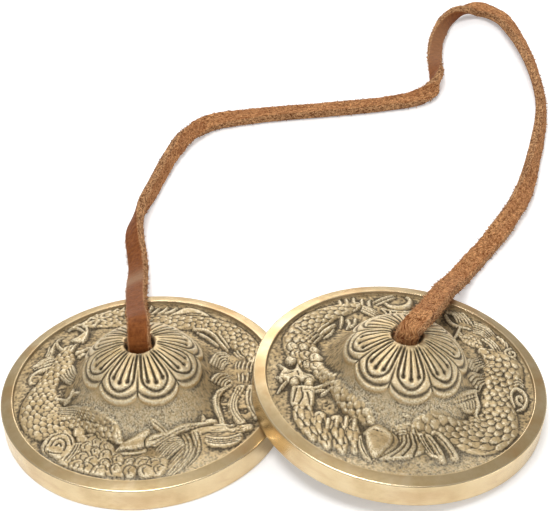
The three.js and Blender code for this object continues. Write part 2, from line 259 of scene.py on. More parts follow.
def brass_material():
    m, t, shader = material("cast_brass_aged")
    where = attribute(t, "own_place", vector=True)
    patina_and_highlight = attribute(t, "patina_and_highlight")
    wear_and_highlight = attribute(t, "wear_and_highlight")
    cast = attribute(t, "cast_skin")
    grain = noise(t, where, 2.2, 6, 0.72)
    cloud = noise(t, where, 0.16, 4, 0.55)
    pits = noise(t, where, 5.0, 4, 0.65)
    specks = noise(t, where, 1.3, 3, 0.5)
    amount = times(t, plus(t, 0.25, times(t, patina_and_highlight, 1.6)), cast)
    amount = plus(t, amount, 0.08)
    speck = times(t, maths(t, "SUBTRACT", grain, 0.5), amount)
    drift = times(t, maths(t, "SUBTRACT", cloud, 0.5), 0.35)
    dark = plus(t, plus(t, patina_and_highlight, speck), drift, clamp=True)
    hole = times(t, remap(t, specks, 0.66, 0.72), times(t, cast, 0.28))
    dark = plus(t, dark, hole, clamp=True)
    base = mix(t, remap(t, cloud, 0.35, 0.65), linear(230, 205, 160), linear(218, 188, 136))
    recess = mix(t, remap(t, pits, 0.3, 0.7), linear(46, 38, 26), linear(100, 86, 62))
    colour = mix(t, dark, base, recess)
    tarnish = noise(t, stretched(t, where, (1.0, 1.0, 2.6)), 0.11, 3, 0.55, 0.6)
    turned = maths(t, "SUBTRACT", 1.0, cast, clamp=True)
    browner = times(t, remap(t, tarnish, 0.46, 0.66, 0.0, 0.4), turned)
    colour = mix(t, browner, colour, linear(182, 132, 74))
    mottle = remap(t, noise(t, where, 2.4, 5, 0.75), 0.42, 0.58, 0.0, 1.5)
    uneven = plus(t, turned, times(t, mottle, cast))
    # the pale polished colour of wear, which also paints highlights on the front of the dome and along the
    # bevel's edges
    colour = mix(t, times(t, wear_and_highlight, uneven, clamp=True), colour, linear(244, 230, 198))
    t.links.new(colour, shader.inputs["Base Color"])
    t.links.new(remap(t, dark, 0.1, 0.8, 1.0, 0.4), shader.inputs["Metallic"])
    rough = plus(t, remap(t, dark, 0.0, 0.8, 0.24, 0.52), times(t, cast, 0.1))
    t.links.new(rough, shader.inputs["Roughness"])
    relief = times(t, grain, plus(t, 0.12, times(t, cast, 0.88)))
    first = bump(t, relief, 0.7, 0.00026)
    t.links.new(bump(t, pits, 0.35, 0.00008, first), shader.inputs["Normal"])
    return m


def leather_material():
    m, t, shader = material("leather_thong")
    where = attribute(t, "own_place", vector=True)
    smooth_side = attribute(t, "smooth_side")
    cut_edge = attribute(t, "cut_edge")
    painted_sheen = attribute(t, "painted_sheen")
    grain = noise(t, where, 0.9, 6, 0.68)
    pores = noise(t, where, 4.2, 3, 0.6)
    fibre = noise(t, stretched(t, where, (1.0, 0.6, 1.0)), 1.9, 5, 0.72, 0.8)
    patches = noise(t, stretched(t, where, (1.0, 0.5, 1.0)), 0.28, 3, 0.5)
    wrinkle = noise(t, stretched(t, where, (0.16, 1.3, 0.2)), 1.1, 3, 0.6, 0.3)
    hide = mix(t, remap(t, grain, 0.32, 0.68), linear(112, 60, 26), linear(154, 92, 47))
    hide = mix(t, remap(t, wrinkle, 0.56, 0.7, 0.0, 0.45), hide, linear(86, 44, 22))
    # painted sheen: the smooth side turns pale grey-brown at its crease and on the rise
    hide = mix(t, times(t, painted_sheen, 0.7), hide, linear(166, 130, 98))
    suede = mix(t, remap(t, fibre, 0.4, 0.62), linear(108, 52, 22), linear(246, 184, 124))
    suede = mix(t, remap(t, patches, 0.3, 0.7, 0.0, 0.45), suede, linear(192, 130, 84))
    rust = noise(t, stretched(t, where, (1.0, 0.4, 1.0)), 0.42, 5, 0.66, 0.4)
    suede = mix(t, remap(t, rust, 0.52, 0.66, 0.0, 0.42), suede, linear(134, 66, 28))
    edge = mix(t, remap(t, fibre, 0.4, 0.62), linear(92, 46, 22), linear(244, 192, 138))
    colour = mix(t, smooth_side, suede, hide)
    colour = mix(t, times(t, cut_edge, 0.8), colour, edge)
    t.links.new(colour, shader.inputs["Base Color"])
    t.links.new(remap(t, smooth_side, 0, 1, 0.95, 0.55), shader.inputs["Roughness"])
    shader.inputs["Specular IOR Level"].default_value = 0.06
    shader.inputs["Sheen Weight"].default_value = 0.03
    shader.inputs["Sheen Roughness"].default_value = 0.5
    height = plus(t, times(t, fibre, maths(t, "SUBTRACT", 1.1, smooth_side)), times(t, pores, 0.2))
    height = plus(t, height, times(t, wrinkle, -0.35))
    t.links.new(bump(t, height, 0.9, 0.0005), shader.inputs["Normal"])
    return m


BRASS = brass_material()
LEATHER = leather_material()


# Thong
# Points of the thong's route in metres, along the CAD's, with the turn of the smooth side from
# upward in degrees and the leather's width there as a share
ROUTE = [
    (-.0309, .0013, .0217, -2, .94), (-.0314, .0045, .0224, -8, .92), (-.0335, .0133, .0184, -13, .9),
    (-.0371, .0310, .0103, -16, .91), (-.0389, .0410, .0053, -20, .98), (-.0406, .0525, .0024, -34, .95),
    (-.0439, .0680, .0028, -42, 1), (-.0437, .0780, .0030, -76, .93), (-.0417, .0885, .0030, -97, .83),
    (-.0386, .1058, .0030, -103, .8), (-.0348, .1181, .0029, -130, .83), (-.0285, .1262, .0023, -160, .94),
    (-.0130, .1315, .0018, -178, .94), (.0070, .1350, .0017, -180, .94), (.0260, .1385, .0018, -180, .92),
    (.0368, .1417, .0024, -160, .87), (.0414, .1468, .0030, -100, .88), (.0423, .1545, .0027, -48, .82),
    (.0419, .1680, .0022, 14, .82), (.0432, .1815, .0026, 34, .82), (.0482, .1948, .0030, 94, .88),
    (.0566, .2004, .0027, 194, 1.0), (.0641, .1947, .0028, 172, .95), (.0696, .1788, .0030, 140, .95),
    (.0734, .1570, .0030, 118, 1.0), (.0743, .1330, .0030, 104, .92), (.0706, .1084, .0030, 110, .84),
    (.0659, .0878, .0029, 136, .92), (.0591, .0716, .0023, 160, 1), (.0487, .0530, .0020, 174, 1),
    (.0449, .0446, .0039, 177, 1), (.0424, .0330, .0108, 179, 1), (.0389, .0165, .0192, 180, 1),
    (.0365, .0064, .0244, 180, .98), (.0350, .0026, .0256, 180, .97), (.0333, .0004, .0250, 180, .96)]
axis = np.array([math.sin(LEAN), 0, math.cos(LEAN)])
foot = np.array([RIGHT_X, 0, RIGHT_LIFT])
left_mouth = np.array([LEFT_X, 0, CROWN])
right_mouth = foot + CROWN * axis
ends = [np.array([LEFT_X, 0, UNDER_CROWN]), left_mouth, right_mouth, foot + UNDER_CROWN * axis]
route = np.array([[x / MM, y / MM, z / MM, t, w] for x, y, z, t, w in ROUTE])
nodes = np.vstack([[*ends[0], 0, .94], [*ends[1], 0, .94], route,
                   [*ends[2], 180, .96], [*ends[3], 180, .96]])

PER_SPAN = 26
line = catmull(nodes[:, :3], PER_SPAN)
kernel = np.hanning(2 * (PER_SPAN // 2) + 1)
kernel /= kernel.sum()
at = np.arange(len(line)) / PER_SPAN
turns, widths = (np.interp(at, np.arange(len(nodes)), nodes[:, k]) for k in (3, 4))
turns, widths = (np.convolve(np.pad(values, PER_SPAN // 2, mode="edge"), kernel, "valid")
                 for values in (turns, widths))
gaps = np.linalg.norm(np.diff(line, axis=0), axis=1)
run = np.concatenate([[0], np.cumsum(gaps)])
at_node = run[::PER_SPAN]
# Even steps along the thong, in mm
STEP = 0.4
even = np.linspace(0, run[-1], int(run[-1] / STEP))
line = np.stack([np.interp(even, run, line[:, k]) for k in range(3)], -1)
turns, widths = np.interp(even, run, turns), np.interp(even, run, widths)
along = np.gradient(line, axis=0)
along /= np.linalg.norm(along, axis=1)[:, None]
stands = smoothstep(np.abs(along[:, 2]), 0.5, 0.95)
upright = np.stack([0 * stands, -stands, 1 - stands], -1)
upright -= along * (upright * along).sum(1)[:, None]
upright /= np.linalg.norm(upright, axis=1)[:, None]
across = np.cross(along, upright)
angle = np.radians(turns)[:, None]
smooth_normal = upright * np.cos(angle) + across * np.sin(angle)


def strap_section():
    """Points round the leather's section, with its corners worn: across, up."""
    corner, spacing = 0.55, 0.4
    a, b = STRAP_WIDTH / 2 - corner, STRAP_THICKNESS / 2 - corner
    out = []
    for cx, cy, start in ((a, b, 0), (-a, b, 90), (-a, -b, 180), (a, -b, 270)):
        for k in range(4):
            q = math.radians(start + 90 * k / 3)
            out.append((cx + corner * math.cos(q), cy + corner * math.sin(q)))
    ring = []
    for p, q in zip(out, out[1:] + out[:1]):
        ring.append(p)
        extra = int(math.dist(p, q) / spacing)
        for k in range(1, extra):
            ring.append((p[0] + (q[0] - p[0]) * k / extra, p[1] + (q[1] - p[1]) * k / extra))
    return np.array(ring)


section = strap_section()

# Hairs of the rough leather, the points of each one and the directions of its edges
HAIRS = 5200
HAIR_POINTS = 7
THIRDS = (0, 2.09, 4.19)


def grid(rings, n, start=0):
    """Four-sided faces between rings of n points each, from point number start on."""
    i, j = np.meshgrid(np.arange(rings - 1), np.arange(n), indexing="ij")
    k = (j + 1) % n
    return start + np.stack([i * n + j, (i + 1) * n + j, (i + 1) * n + k, i * n + k], -1).reshape(-1, 4)


def fibres(base, out, along, seed):
    """Short bent hairs on rough leather: three-sided spikes with a knee, as points and faces."""
    rng = np.random.default_rng(seed)
    n = len(base)
    across = np.cross(out, along)
    lean = rng.normal(0, 0.7, (n, 2, 1))
    way = out + along * lean[:, 0] + across * lean[:, 1]
    way /= np.linalg.norm(way, axis=1)[:, None]
    bent = way + along * rng.normal(0, 0.8, (n, 1)) + across * rng.normal(0, 0.5, (n, 1))
    bent /= np.linalg.norm(bent, axis=1)[:, None]
    length = 0.25 + 1.0 * rng.random((n, 1)) ** 2
    thick = rng.uniform(0.07, 0.13, (n, 1))
    first = np.cross(way, along + 0.3 * across)
    first /= np.linalg.norm(first, axis=1)[:, None]
    second = np.cross(way, first)
    knee = base + way * length * 0.5
    spokes = [first * math.cos(q) + second * math.sin(q) for q in THIRDS]
    low = [base - way * 0.1 + k * thick for k in spokes]
    mid = [knee + k * thick * 0.7 for k in spokes]
    points = np.stack([*low, *mid, knee + bent * length * 0.5], 1)
    points[..., 2] = np.maximum(points[..., 2], TABLE_GAP)
    at = HAIR_POINTS * np.arange(n)[:, None]
    quads = np.concatenate([at + np.array(q) for q in ((0, 1, 4, 3), (1, 2, 5, 4), (2, 0, 3, 5))])
    tris = np.concatenate([at + np.array(q) for q in ((3, 4, 6), (4, 5, 6), (5, 3, 6), (2, 1, 0))])
    return points.reshape(-1, 3), quads, tris


def swept(name, line, normal, scale, grain_from, smooth=1.0, painted_sheen=None, hairs=0, seed=3):
    """Leather swept along a line; scale gives the section's width and thickness as shares."""
    along = np.gradient(line, axis=0)
    along /= np.linalg.norm(along, axis=1)[:, None]
    sideways = np.cross(normal, along)
    steps, n = len(line), len(section)
    run = np.concatenate([[0], np.cumsum(np.linalg.norm(np.diff(line, axis=0), axis=1))]) + grain_from
    side_up = smoothstep(section[:, 1], STRAP_THICKNESS * 0.32, STRAP_THICKNESS * 0.48) * smooth
    cut = smoothstep(np.abs(section[:, 0]), STRAP_WIDTH * 0.42, STRAP_WIDTH * 0.49)
    s, u, v = run[:, None], section[None, :, 0], section[None, :, 1]
    rough = sum(
        size * (lattice(s, u + 0 * s, cell, seed + k) + lattice(s + 40, v + 0 * s, cell, seed + 7 + k))
        for k, (cell, size) in enumerate(((0.55, 0.085), (1.5, 0.09), (4.5, 0.07))))
    creases = 0.035 * lattice(s, 0.12 * u + 0 * s, 0.8, seed + 20)
    creases += 0.03 * lattice(s, 0.3 * u + 0 * s, 2.6, seed + 21)
    grow = rough * (1 - side_up) + creases * side_up
    edge_out = np.stack([np.sign(section[:, 0]) * cut, np.sign(section[:, 1]) * (1 - cut)], -1)
    shape = section[None] * scale[:, None] + edge_out[None] * grow[..., None]
    rings = line[:, None] + sideways[:, None] * shape[..., :1] + normal[:, None] * shape[..., 1:]
    quads = grid(steps, n)[:, [0, 3, 2, 1]]
    caps = [np.arange(n)[None, ::-1], ((steps - 1) * n + np.arange(n))[None]]
    own = np.stack([np.tile(section[:, 0], steps), np.repeat(run, n), np.tile(section[:, 1], steps)], -1)
    points = rings.reshape(-1, 3)
    points[:, 2] = np.maximum(points[:, 2], TABLE_GAP)
    layers = {"smooth_side": np.tile(side_up, steps), "cut_edge": np.tile(cut, steps),
              "painted_sheen": np.repeat(np.zeros(steps) if painted_sheen is None else painted_sheen, n)}
    tris = np.empty((0, 3), int)
    if hairs:
        rng = np.random.default_rng(seed)
        share = (1 - side_up) * (0.35 + cut)
        i = rng.integers(3, steps - 3, hairs)
        j = rng.choice(n, hairs, p=share / share.sum())
        out = sideways[i] * edge_out[j, :1] + normal[i] * edge_out[j, 1:]
        hair, hair_quads, tris = fibres(rings[i, j], out, along[i], seed)
        quads = np.vstack([quads, hair_quads + len(points)])
        tris = tris + len(points)
        own = np.vstack([own, np.repeat(own[i * n + j] + rng.normal(0, 1, (hairs, 3)), HAIR_POINTS, 0)])
        points = np.vstack([points, hair])
        for key, value in (("smooth_side", 0.0), ("cut_edge", 1.0), ("painted_sheen", 0.0)):
            layers[key] = np.append(layers[key], np.full(HAIR_POINTS * hairs, value))
    layers["own_place"] = own
    faces = [quads, *caps, tris] if hairs else [quads, *caps]
    return mesh_object(name, points, faces, LEATHER, layers)


# painted sheen on the smooth side at its crease and where the thong rises on its edge
crease, rise = at_node[6], (at_node[19] + at_node[22]) / 2
painted_sheen = np.clip(np.exp(-((even - crease) / 5) ** 2) + 0.5 * np.exp(-((even - rise) / 17) ** 4), 0, 1)
scale = np.stack([widths, 0 * widths + 1], -1)
strap = swept("thong", line, smooth_normal, scale, 0.0, painted_sheen=painted_sheen, hairs=HAIRS)
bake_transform(strap)
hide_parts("strap")


def knot(name, matrix, grain_from):
    """An overhand knot pulled up under the crown, with its short cut tail; its grain starts at grain_from."""
    t = np.linspace(2.0, -2.0, 90)
    x, y, z = t**3 - 3 * t, t**4 - 4 * t**2 + 1.9, t**5 - 10 * t
    middle = UNDER_CROWN - SEAT_GAP - 3.7
    loop = np.stack([1.45 * x, 1.35 * y, middle + 0.17 * z], -1)
    lead = [(0, 0, UNDER_CROWN - SEAT_GAP), (0.5, 0.2, UNDER_CROWN - 0.9)]
    tail = [(-2.2, 1.4, middle - 2.5), (-1.9, 1.2, middle - 3.1)]
    points = catmull(np.vstack([lead, loop[2::6], tail]), 6)
    along = np.gradient(points, axis=0)
    along /= np.linalg.norm(along, axis=1)[:, None]
    normal = np.array([0.0, -1.0, 0.0])
    normals = []
    for direction in along:
        normal = normal - direction * (normal @ direction)
        normal = normal / np.linalg.norm(normal)
        normals.append(normal)
    share = np.linspace(0, 1, len(points))
    width = np.interp(share, [0, 0.08, 0.2, 0.85, 1], [0.95, 0.7, 0.48, 0.48, 0.62])
    thick = np.interp(share, [0, 0.1, 0.9, 1], [0.95, 0.8, 0.8, 0.75])
    turned = np.array(matrix)[:3, :3]
    return swept(name, place(points, matrix), np.array(normals) @ turned.T, np.stack([width, thick], -1),
                 grain_from, 0.5)


left_knot = knot("left_knot_tied", LEFT_PLACE, -60.0)
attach(left_knot, "left_end")
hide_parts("left_knot")
right_knot = knot("right_knot_tied", RIGHT_PLACE, 520.0)
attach(right_knot, "thong")
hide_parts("right_knot")


# Cymbals
# The dome's outline as shares of its radius and height
DOME = [(0.27, 0.985), (0.37, 0.93), (0.48, 0.86), (0.57, 0.78), (0.66, 0.675), (0.73, 0.545),
        (0.79, 0.405), (0.85, 0.275), (0.92, 0.155), (1.01, 0.045)]
DOME_RINGS = 74
GROUND_RINGS = 46


def face_profile():
    """Radius and level of the rings from the hole over the face to the bevel."""
    rise = CROWN - GROUND
    dome = [(HOLE + 0.4, CROWN)] + [(DOME_RADIUS * r, GROUND + rise * h) for r, h in DOME]
    dome += [(DOME_RADIUS + 1.6, GROUND + 0.12), (DOME_RADIUS + 3, GROUND)]
    curve = catmull(dome, 24)
    length = np.concatenate([[0], np.cumsum(np.linalg.norm(np.diff(curve, axis=0), axis=1))])
    even = np.linspace(0, length[-1], DOME_RINGS)
    dome = np.stack([np.interp(even, length, curve[:, k]) for k in range(2)], -1)
    flat = [(r, GROUND) for r in np.linspace(DOME_RADIUS + 3, BEVEL_RADIUS - 0.45, GROUND_RINGS)[1:]]
    return np.vstack([dome, flat])


# Steps round a cymbal
SEGMENTS = 640


def cymbal(name, matrix, relief):
    """A cymbal: lip of the hole, carved face, bevel, wall and foot, and a plain underside."""
    face = face_profile()
    lip = [(HOLE, UNDER_CROWN + 0.5), (HOLE, CROWN - 0.45), (HOLE + 0.12, CROWN - 0.14)]
    slope = BEVEL_RISE / BEVEL_WIDTH
    rim = [(BEVEL_RADIUS - 0.3, GROUND + 0.03), (BEVEL_RADIUS - 0.2, GROUND + 0.16),
           (BEVEL_RADIUS - 0.1, BEVEL - 0.2), (BEVEL_RADIUS - 0.03, BEVEL - 0.07),
           (BEVEL_RADIUS + 0.08, BEVEL - 0.02 - 0.08 * slope), (BEVEL_RADIUS + 0.3, BEVEL - 0.3 * slope),
           (BEVEL_RADIUS + 1.4, BEVEL - 1.4 * slope), (RADIUS - 0.4, WALL + 0.4 * slope),
           (RADIUS - 0.2, WALL + 0.16 * slope), (RADIUS - 0.08, WALL - 0.04), (RADIUS - 0.02, WALL - 0.13),
           (RADIUS, WALL - 0.3), (RADIUS, WALL - 0.9), (RADIUS, 3.0), (RADIUS, 0.9), (RADIUS, 0.4),
           (RADIUS - 0.06, 0.15), (RADIUS - 0.3, 0), (RADIUS - 0.9, 0)]
    rings = np.vstack([lip, face, rim])
    angles = 2 * np.pi * np.arange(SEGMENTS) / SEGMENTS
    r = np.repeat(rings[:, 0][:, None], SEGMENTS, 1)
    z = np.repeat(rings[:, 1][:, None], SEGMENTS, 1)
    x, y = r * np.cos(angles), r * np.sin(angles)
    at_rim = len(lip) + len(face)
    on_face = slice(len(lip), at_rim)
    height, patina_and_highlight, wear_and_highlight = relief(x[on_face], y[on_face])
    step = np.gradient(face, axis=0)
    normal = np.stack([-step[:, 1], step[:, 0]], -1)
    normal /= np.linalg.norm(normal, axis=1)[:, None]
    carved_r = r[on_face] + height * normal[:, :1]
    z[on_face] += height * normal[:, 1:]
    x[on_face], y[on_face] = carved_r * np.cos(angles), carved_r * np.sin(angles)
    all_patina_and_highlight, all_wear_and_highlight = np.zeros(r.shape), np.zeros(r.shape)
    all_patina_and_highlight[on_face] = patina_and_highlight
    all_wear_and_highlight[on_face] = wear_and_highlight
    all_patina_and_highlight[:len(lip)] = 0.8
    # the turned bevel is duller than the wall, which is paler from wear; the thin bright lines along the
    # bevel's inner and outer edges are partly wear and partly painted highlight
    all_patina_and_highlight[at_rim:at_rim + 3] = 0.6
    all_patina_and_highlight[at_rim + 4:at_rim + 8] = 0.3
    all_wear_and_highlight[at_rim + 3] = all_wear_and_highlight[at_rim + 8] = 0.6
    all_wear_and_highlight[at_rim + 9:] = 0.25
    skin = np.zeros(r.shape)
    skin[:at_rim + 2] = 1
    own = np.stack([x, y, z], -1)
    points = own.reshape(-1, 3)
    n = len(rings)
    quads = grid(n, SEGMENTS)
    # underside, with a quarter of the segments
    few = SEGMENTS // 4
    under = [(RADIUS - RIM_WIDTH, 0), (RADIUS - RIM_WIDTH - RIM_STEP, PLATE_LEVEL),
             (HOLLOW_RADIUS * 1.12, PLATE_LEVEL)]
    shares = [(1, 0.12), (0.88, 0.42), (0.75, 0.68), (0.6, 0.87), (0.42, 0.97), (0.24, 1.0)]
    deep = UNDER_CROWN - PLATE_LEVEL
    curve = catmull([(HOLLOW_RADIUS * a, PLATE_LEVEL + b * deep) for a, b in shares], 3)
    under += [tuple(p) for p in curve[:-1]] + [(HOLE + 0.3, UNDER_CROWN), (HOLE, UNDER_CROWN + 0.3)]
    under = np.array(under)
    ua = 2 * np.pi * np.arange(few) / few
    upoints = np.stack([under[:, :1] * np.cos(ua), under[:, :1] * np.sin(ua),
                        np.repeat(under[:, 1:], few, 1)], -1).reshape(-1, 3)
    base = len(points)
    m = len(under)
    uquads = grid(m, few, base)
    # three-sided faces join the fine rings to the coarse ones at the foot and at the hole
    tris = []
    for outer, inner, flip in (((n - 1) * SEGMENTS, base, False), (0, base + (m - 1) * few, True)):
        for j in range(few):
            c0, c1 = inner + j, inner + (j + 1) % few
            f = [outer + (4 * j + q) % SEGMENTS for q in range(5)]
            found = [(f[0], c0, f[1]), (f[1], c0, f[2]), (f[2], c0, c1),
                     (f[2], c1, f[3]), (f[3], c1, f[4])]
            tris += [t[::-1] for t in found] if flip else found
    points = np.vstack([points, upoints])
    pad = np.full(len(upoints), 0.35)
    layers = {"patina_and_highlight": np.concatenate([all_patina_and_highlight.ravel(), pad]),
              "wear_and_highlight": np.concatenate([all_wear_and_highlight.ravel(), 0 * pad]),
              "cast_skin": np.concatenate([skin.ravel(), 0 * pad + 0.5]), "own_place": points}
    faces = [np.vstack([quads, uquads]), np.array(tris)]
    return mesh_object(name, place(points, matrix), faces, BRASS, layers)


def lotus(x, y, gap_degrees, offset):
    """Height of the eight-petalled lotus round the hole, and how deep each point lies in a groove."""
    x, y = x - offset[0], y - offset[1]
    r = np.hypot(x, y)
    pitch = np.pi / 4
    phase = (np.arctan2(y, x) - math.radians(gap_degrees)) / pitch
    f = 2 * (phase - np.floor(phase)) - 1
    reach, notch = 14.5, 2.1
    edge = reach - notch * (1 - np.sqrt(np.clip(1 - 0.93 * f**2, 0, 1)))
    plate = 0.62 * smoothstep(edge - r, -0.35, 0.4)
    groove = np.zeros(r.shape)

    def cut(distance, width, depth):
        np.maximum(groove, depth * np.exp(-(distance / width) ** 2), out=groove)

    inside = r < edge
    cut(r - (edge - 1.0), 0.3, 0.36 * inside)
    # the U-shaped line inside each petal
    u = np.abs(f) * pitch / 2 * r
    half = np.clip(0.78 * pitch / 2 * r, 0, 3.35)
    bend = 9.4
    round_end = np.hypot(np.clip(r - bend, 0, None) * 1.05, u)
    line = np.where(r > bend, round_end - half, u - half)
    cut(line, 0.28, 0.5 * smoothstep(r, 3.4, 4.6))
    # three straight lines in each petal, each with a dot at its end
    for k in (-1, 0, 1):
        centre = k * 0.44 * pitch / 2 * np.clip(r, 0, 10.6)
        d = np.abs(f * pitch / 2 * r - centre)
        end = 11.0 - 0.45 * abs(k)
        width = 0.15 + 0.15 * smoothstep(r, 6, 11)
        tip = np.hypot(d, np.clip(r - end, 0, None))
        cut(tip, width, 0.5 * smoothstep(r, 4.2, 5.6))
        dot = np.hypot(d, r - end)
        cut(dot, 0.42, 0.72)
    # the seam between petals
    cut((1 - np.abs(f)) * pitch / 2 * r, 0.25, 0.4 * inside * smoothstep(r, 5.5, 12.5))
    return plate - groove, np.clip(groove / 0.5, 0, 1)


# Relief
class Face:
    """Heights over a face in mm, built up from listed curves: x to the right, y to the back."""

    def __init__(self, x, y):
        self.x, self.y = x.ravel(), y.ravel()
        self.h = np.zeros(self.x.size)

    def onto(self, idx, a, b):
        """Points set on the segments from a to b: steps, their squares, shares of a step and offsets."""
        p = np.stack([self.x[idx], self.y[idx]], -1)[:, None]
        ab = b - a
        size = np.maximum((ab**2).sum(-1), 1e-9)
        t = np.clip(((p - a) * ab).sum(-1) / size, 0, 1)
        return ab, size, t, p - (a + t[..., None] * ab)

    def near(self, curve, reach):
        """Points within reach of a curve: their indices, length along it, offset and half width there."""
        lo, hi = curve[:, :2].min(0) - reach, curve[:, :2].max(0) + reach
        idx = np.nonzero((self.x > lo[0]) & (self.x < hi[0]) & (self.y > lo[1]) & (self.y < hi[1]))[0]
        if not len(idx):
            return idx, idx, idx, idx
        ab, size, t, gap = self.onto(idx, curve[:-1, :2], curve[1:, :2])
        d2 = (gap**2).sum(-1)
        best = d2.argmin(1)
        rows = np.arange(len(idx))
        tb = t[rows, best]
        g = gap[rows, best]
        length = np.concatenate([[0], np.cumsum(np.sqrt(size))])
        s = length[best] + tb * np.sqrt(size)[best]
        cross = ab[best, 0] * g[:, 1] - ab[best, 1] * g[:, 0]
        v = np.sqrt(d2[rows, best]) * np.where(cross < 0, -1, 1)
        w = curve[best, 2] * (1 - tb) + curve[best + 1, 2] * tb
        keep = np.abs(v) < np.maximum(w, 0.05)
        return idx[keep], s[keep], v[keep], w[keep]

    def stroke(self, points, height=0.6, power=0.65):
        """A raised line with a round section, half as wide as each point's third value."""
        idx, _, v, w = self.near(catmull(points, 8), max(p[2] for p in points) + 0.1)
        if len(idx):
            rise = height * np.clip(1 - (v / w) ** 2, 0, 1) ** power * np.clip(w / 0.3, 0.3, 1)
            self.h[idx] = np.maximum(self.h[idx], rise)

    def cut(self, points, depth=0.3):
        """An engraved line, the counterpart of a stroke."""
        idx, _, v, w = self.near(catmull(points, 8), max(p[2] for p in points) + 0.1)
        if len(idx):
            self.h[idx] -= depth * np.clip(1 - (v / w) ** 2, 0, 1)

    def lines(self, curves, width=0.3, depth=0.36):
        """Thin engraved lines."""
        for curve in curves:
            self.cut([(x, y, width) for x, y in curve], depth)

    def hatch(self, first, last, number, width=0.26, depth=0.4):
        """Engraved lines side by side between two curves of as many points."""
        first, last = np.array(first, float), np.array(last, float)
        for k in range(number):
            t = (k + 0.2 * math.sin(12.9 * k + number)) / max(number - 1, 1)
            self.lines([first * (1 - t) + last * t], width, depth)

    def lumps(self, centres, size, height, turn=0.0):
        """Round-topped leaves side by side, each with a dark line round its upper edge."""
        outline = np.array([(-1, -.9), (-1, .3), (-.4, 1), (.5, 1), (1, .2), (1, -.9), (0, -1.3)])
        ridge = np.array([(-.35, -.5), (-.2, .3), (.3, .5)])
        placed = []
        for k, centre in enumerate(centres):
            a = math.radians(turn + 24 * math.sin(3.3 * k))
            spin = np.array([(math.cos(a), math.sin(a)), (-math.sin(a), math.cos(a))])
            spin = spin * size * (1 + 0.22 * math.sin(5.1 * k))
            self.plate(outline @ spin + centre, height * (1 + 0.12 * math.sin(7.7 * k)), .5 * size)
            placed += [outline[:5] @ spin + centre, ridge @ spin + centre]
        self.lines(placed, .22, .26)

    def speckle(self, centre, radius, depth=0.3):
        """A hollow filled with small punched pits."""
        d = np.hypot(self.x - centre[0], self.y - centre[1])
        pits = 0.5 + 0.5 * lattice(self.x, self.y, 0.42, centre[0])
        self.h -= depth * (1 - smoothstep(d, 0.6 * radius, radius)) * (0.45 + pits)

    def strands(self, first, last, number, width, height=0.6):
        """Raised hairs or rays side by side between two curves of as many points."""
        first, last = np.array(first, float), np.array(last, float)
        for k in range(number):
            t = k / max(number - 1, 1)
            if 0 < k < number - 1:
                t += 0.22 * math.sin(12.9 * k + number) / (number - 1)
            line = first * (1 - t) + last * t
            line = line + 0.07 * np.sin(np.arange(len(line))[:, None] * [2.3, 3.1] + 7 * k)
            taper = np.interp(np.linspace(0, 1, len(line)), [0, 0.3, 1], [0.7, 1, 0.35])
            self.stroke(np.column_stack([line, width * taper]), height * (0.9 + 0.2 * ((k * 37) % 10) / 10))

    def curl(self, centre, radius, turns, start, width, squeeze=1.0, height=0.6):
        """A spiral drawn inwards, start in degrees."""
        q = np.linspace(0, 1, int(12 * abs(turns)) + 4)
        angle = np.radians(start) + 2 * np.pi * turns * q
        r = radius * (1 - 0.86 * q)
        self.stroke(np.column_stack([centre[0] + r * np.cos(angle) * squeeze, centre[1] + r * np.sin(angle),
                                     width * (1 - 0.4 * q)]), height)

    def body(self, points, height=0.8, pitch=1.25, across=1.35, lift=0.5, full=0.6):
        """A round scaly body: rows of overlapping scales whose free edges point along the curve."""
        idx, s, v, w = self.near(catmull(points, 10), max(p[2] for p in points) + 0.1)
        if not len(idx):
            return
        t = v / w
        round_body = np.clip(1 - t**2, 0, 1) ** full
        row = np.floor(s / pitch)
        best = np.zeros(len(idx))
        for dr in (-2, -1, 0, 1):
            k = row + dr
            shift = 0.5 * np.mod(k, 2)
            for dc in (0, 1, -1):
                c = np.round(v / across - shift) + dc
                wob = np.modf(np.abs(np.sin(k * 12.9898 + c * 78.233) * 43758.5453))[0]
                wob2 = np.modf(np.abs(np.sin(k * 39.3467 + c * 11.135) * 24634.634))[0]
                ds = s - (k + 0.5 + 0.34 * (wob - 0.5)) * pitch
                ds = ds / (pitch * (0.95 + 0.2 * (wob2 - 0.5)))
                dv = v - (c + shift + 0.22 * (wob2 - 0.5)) * across
                dv = dv / (across * (0.53 + 0.1 * (wob - 0.5)))
                d = np.where(ds > 0, np.sqrt(ds**2 + dv**2), np.maximum(np.abs(dv), -ds / 1.25))
                shape = (1 - smoothstep(d, 0.76, 0.98)) * np.sqrt(np.clip(1 - 0.4 * dv**2, 0, 1))
                hill = shape * np.clip(0.55 + 0.45 * ds, 0.03, 1.0) * (0.82 + 0.36 * wob2)
                best = np.maximum(best, hill)
        fade = np.clip(round_body * 1.3, 0, 1)
        rise = height * round_body * (1 - lift) + lift * best * fade
        self.h[idx] = np.maximum(self.h[idx], rise)

    def mass(self, outline, height=0.4, edge=1.6):
        """A low swelling under strands, so that they don't stand on bare ground."""
        self.plate(outline, height, 2 * edge, soft=True)

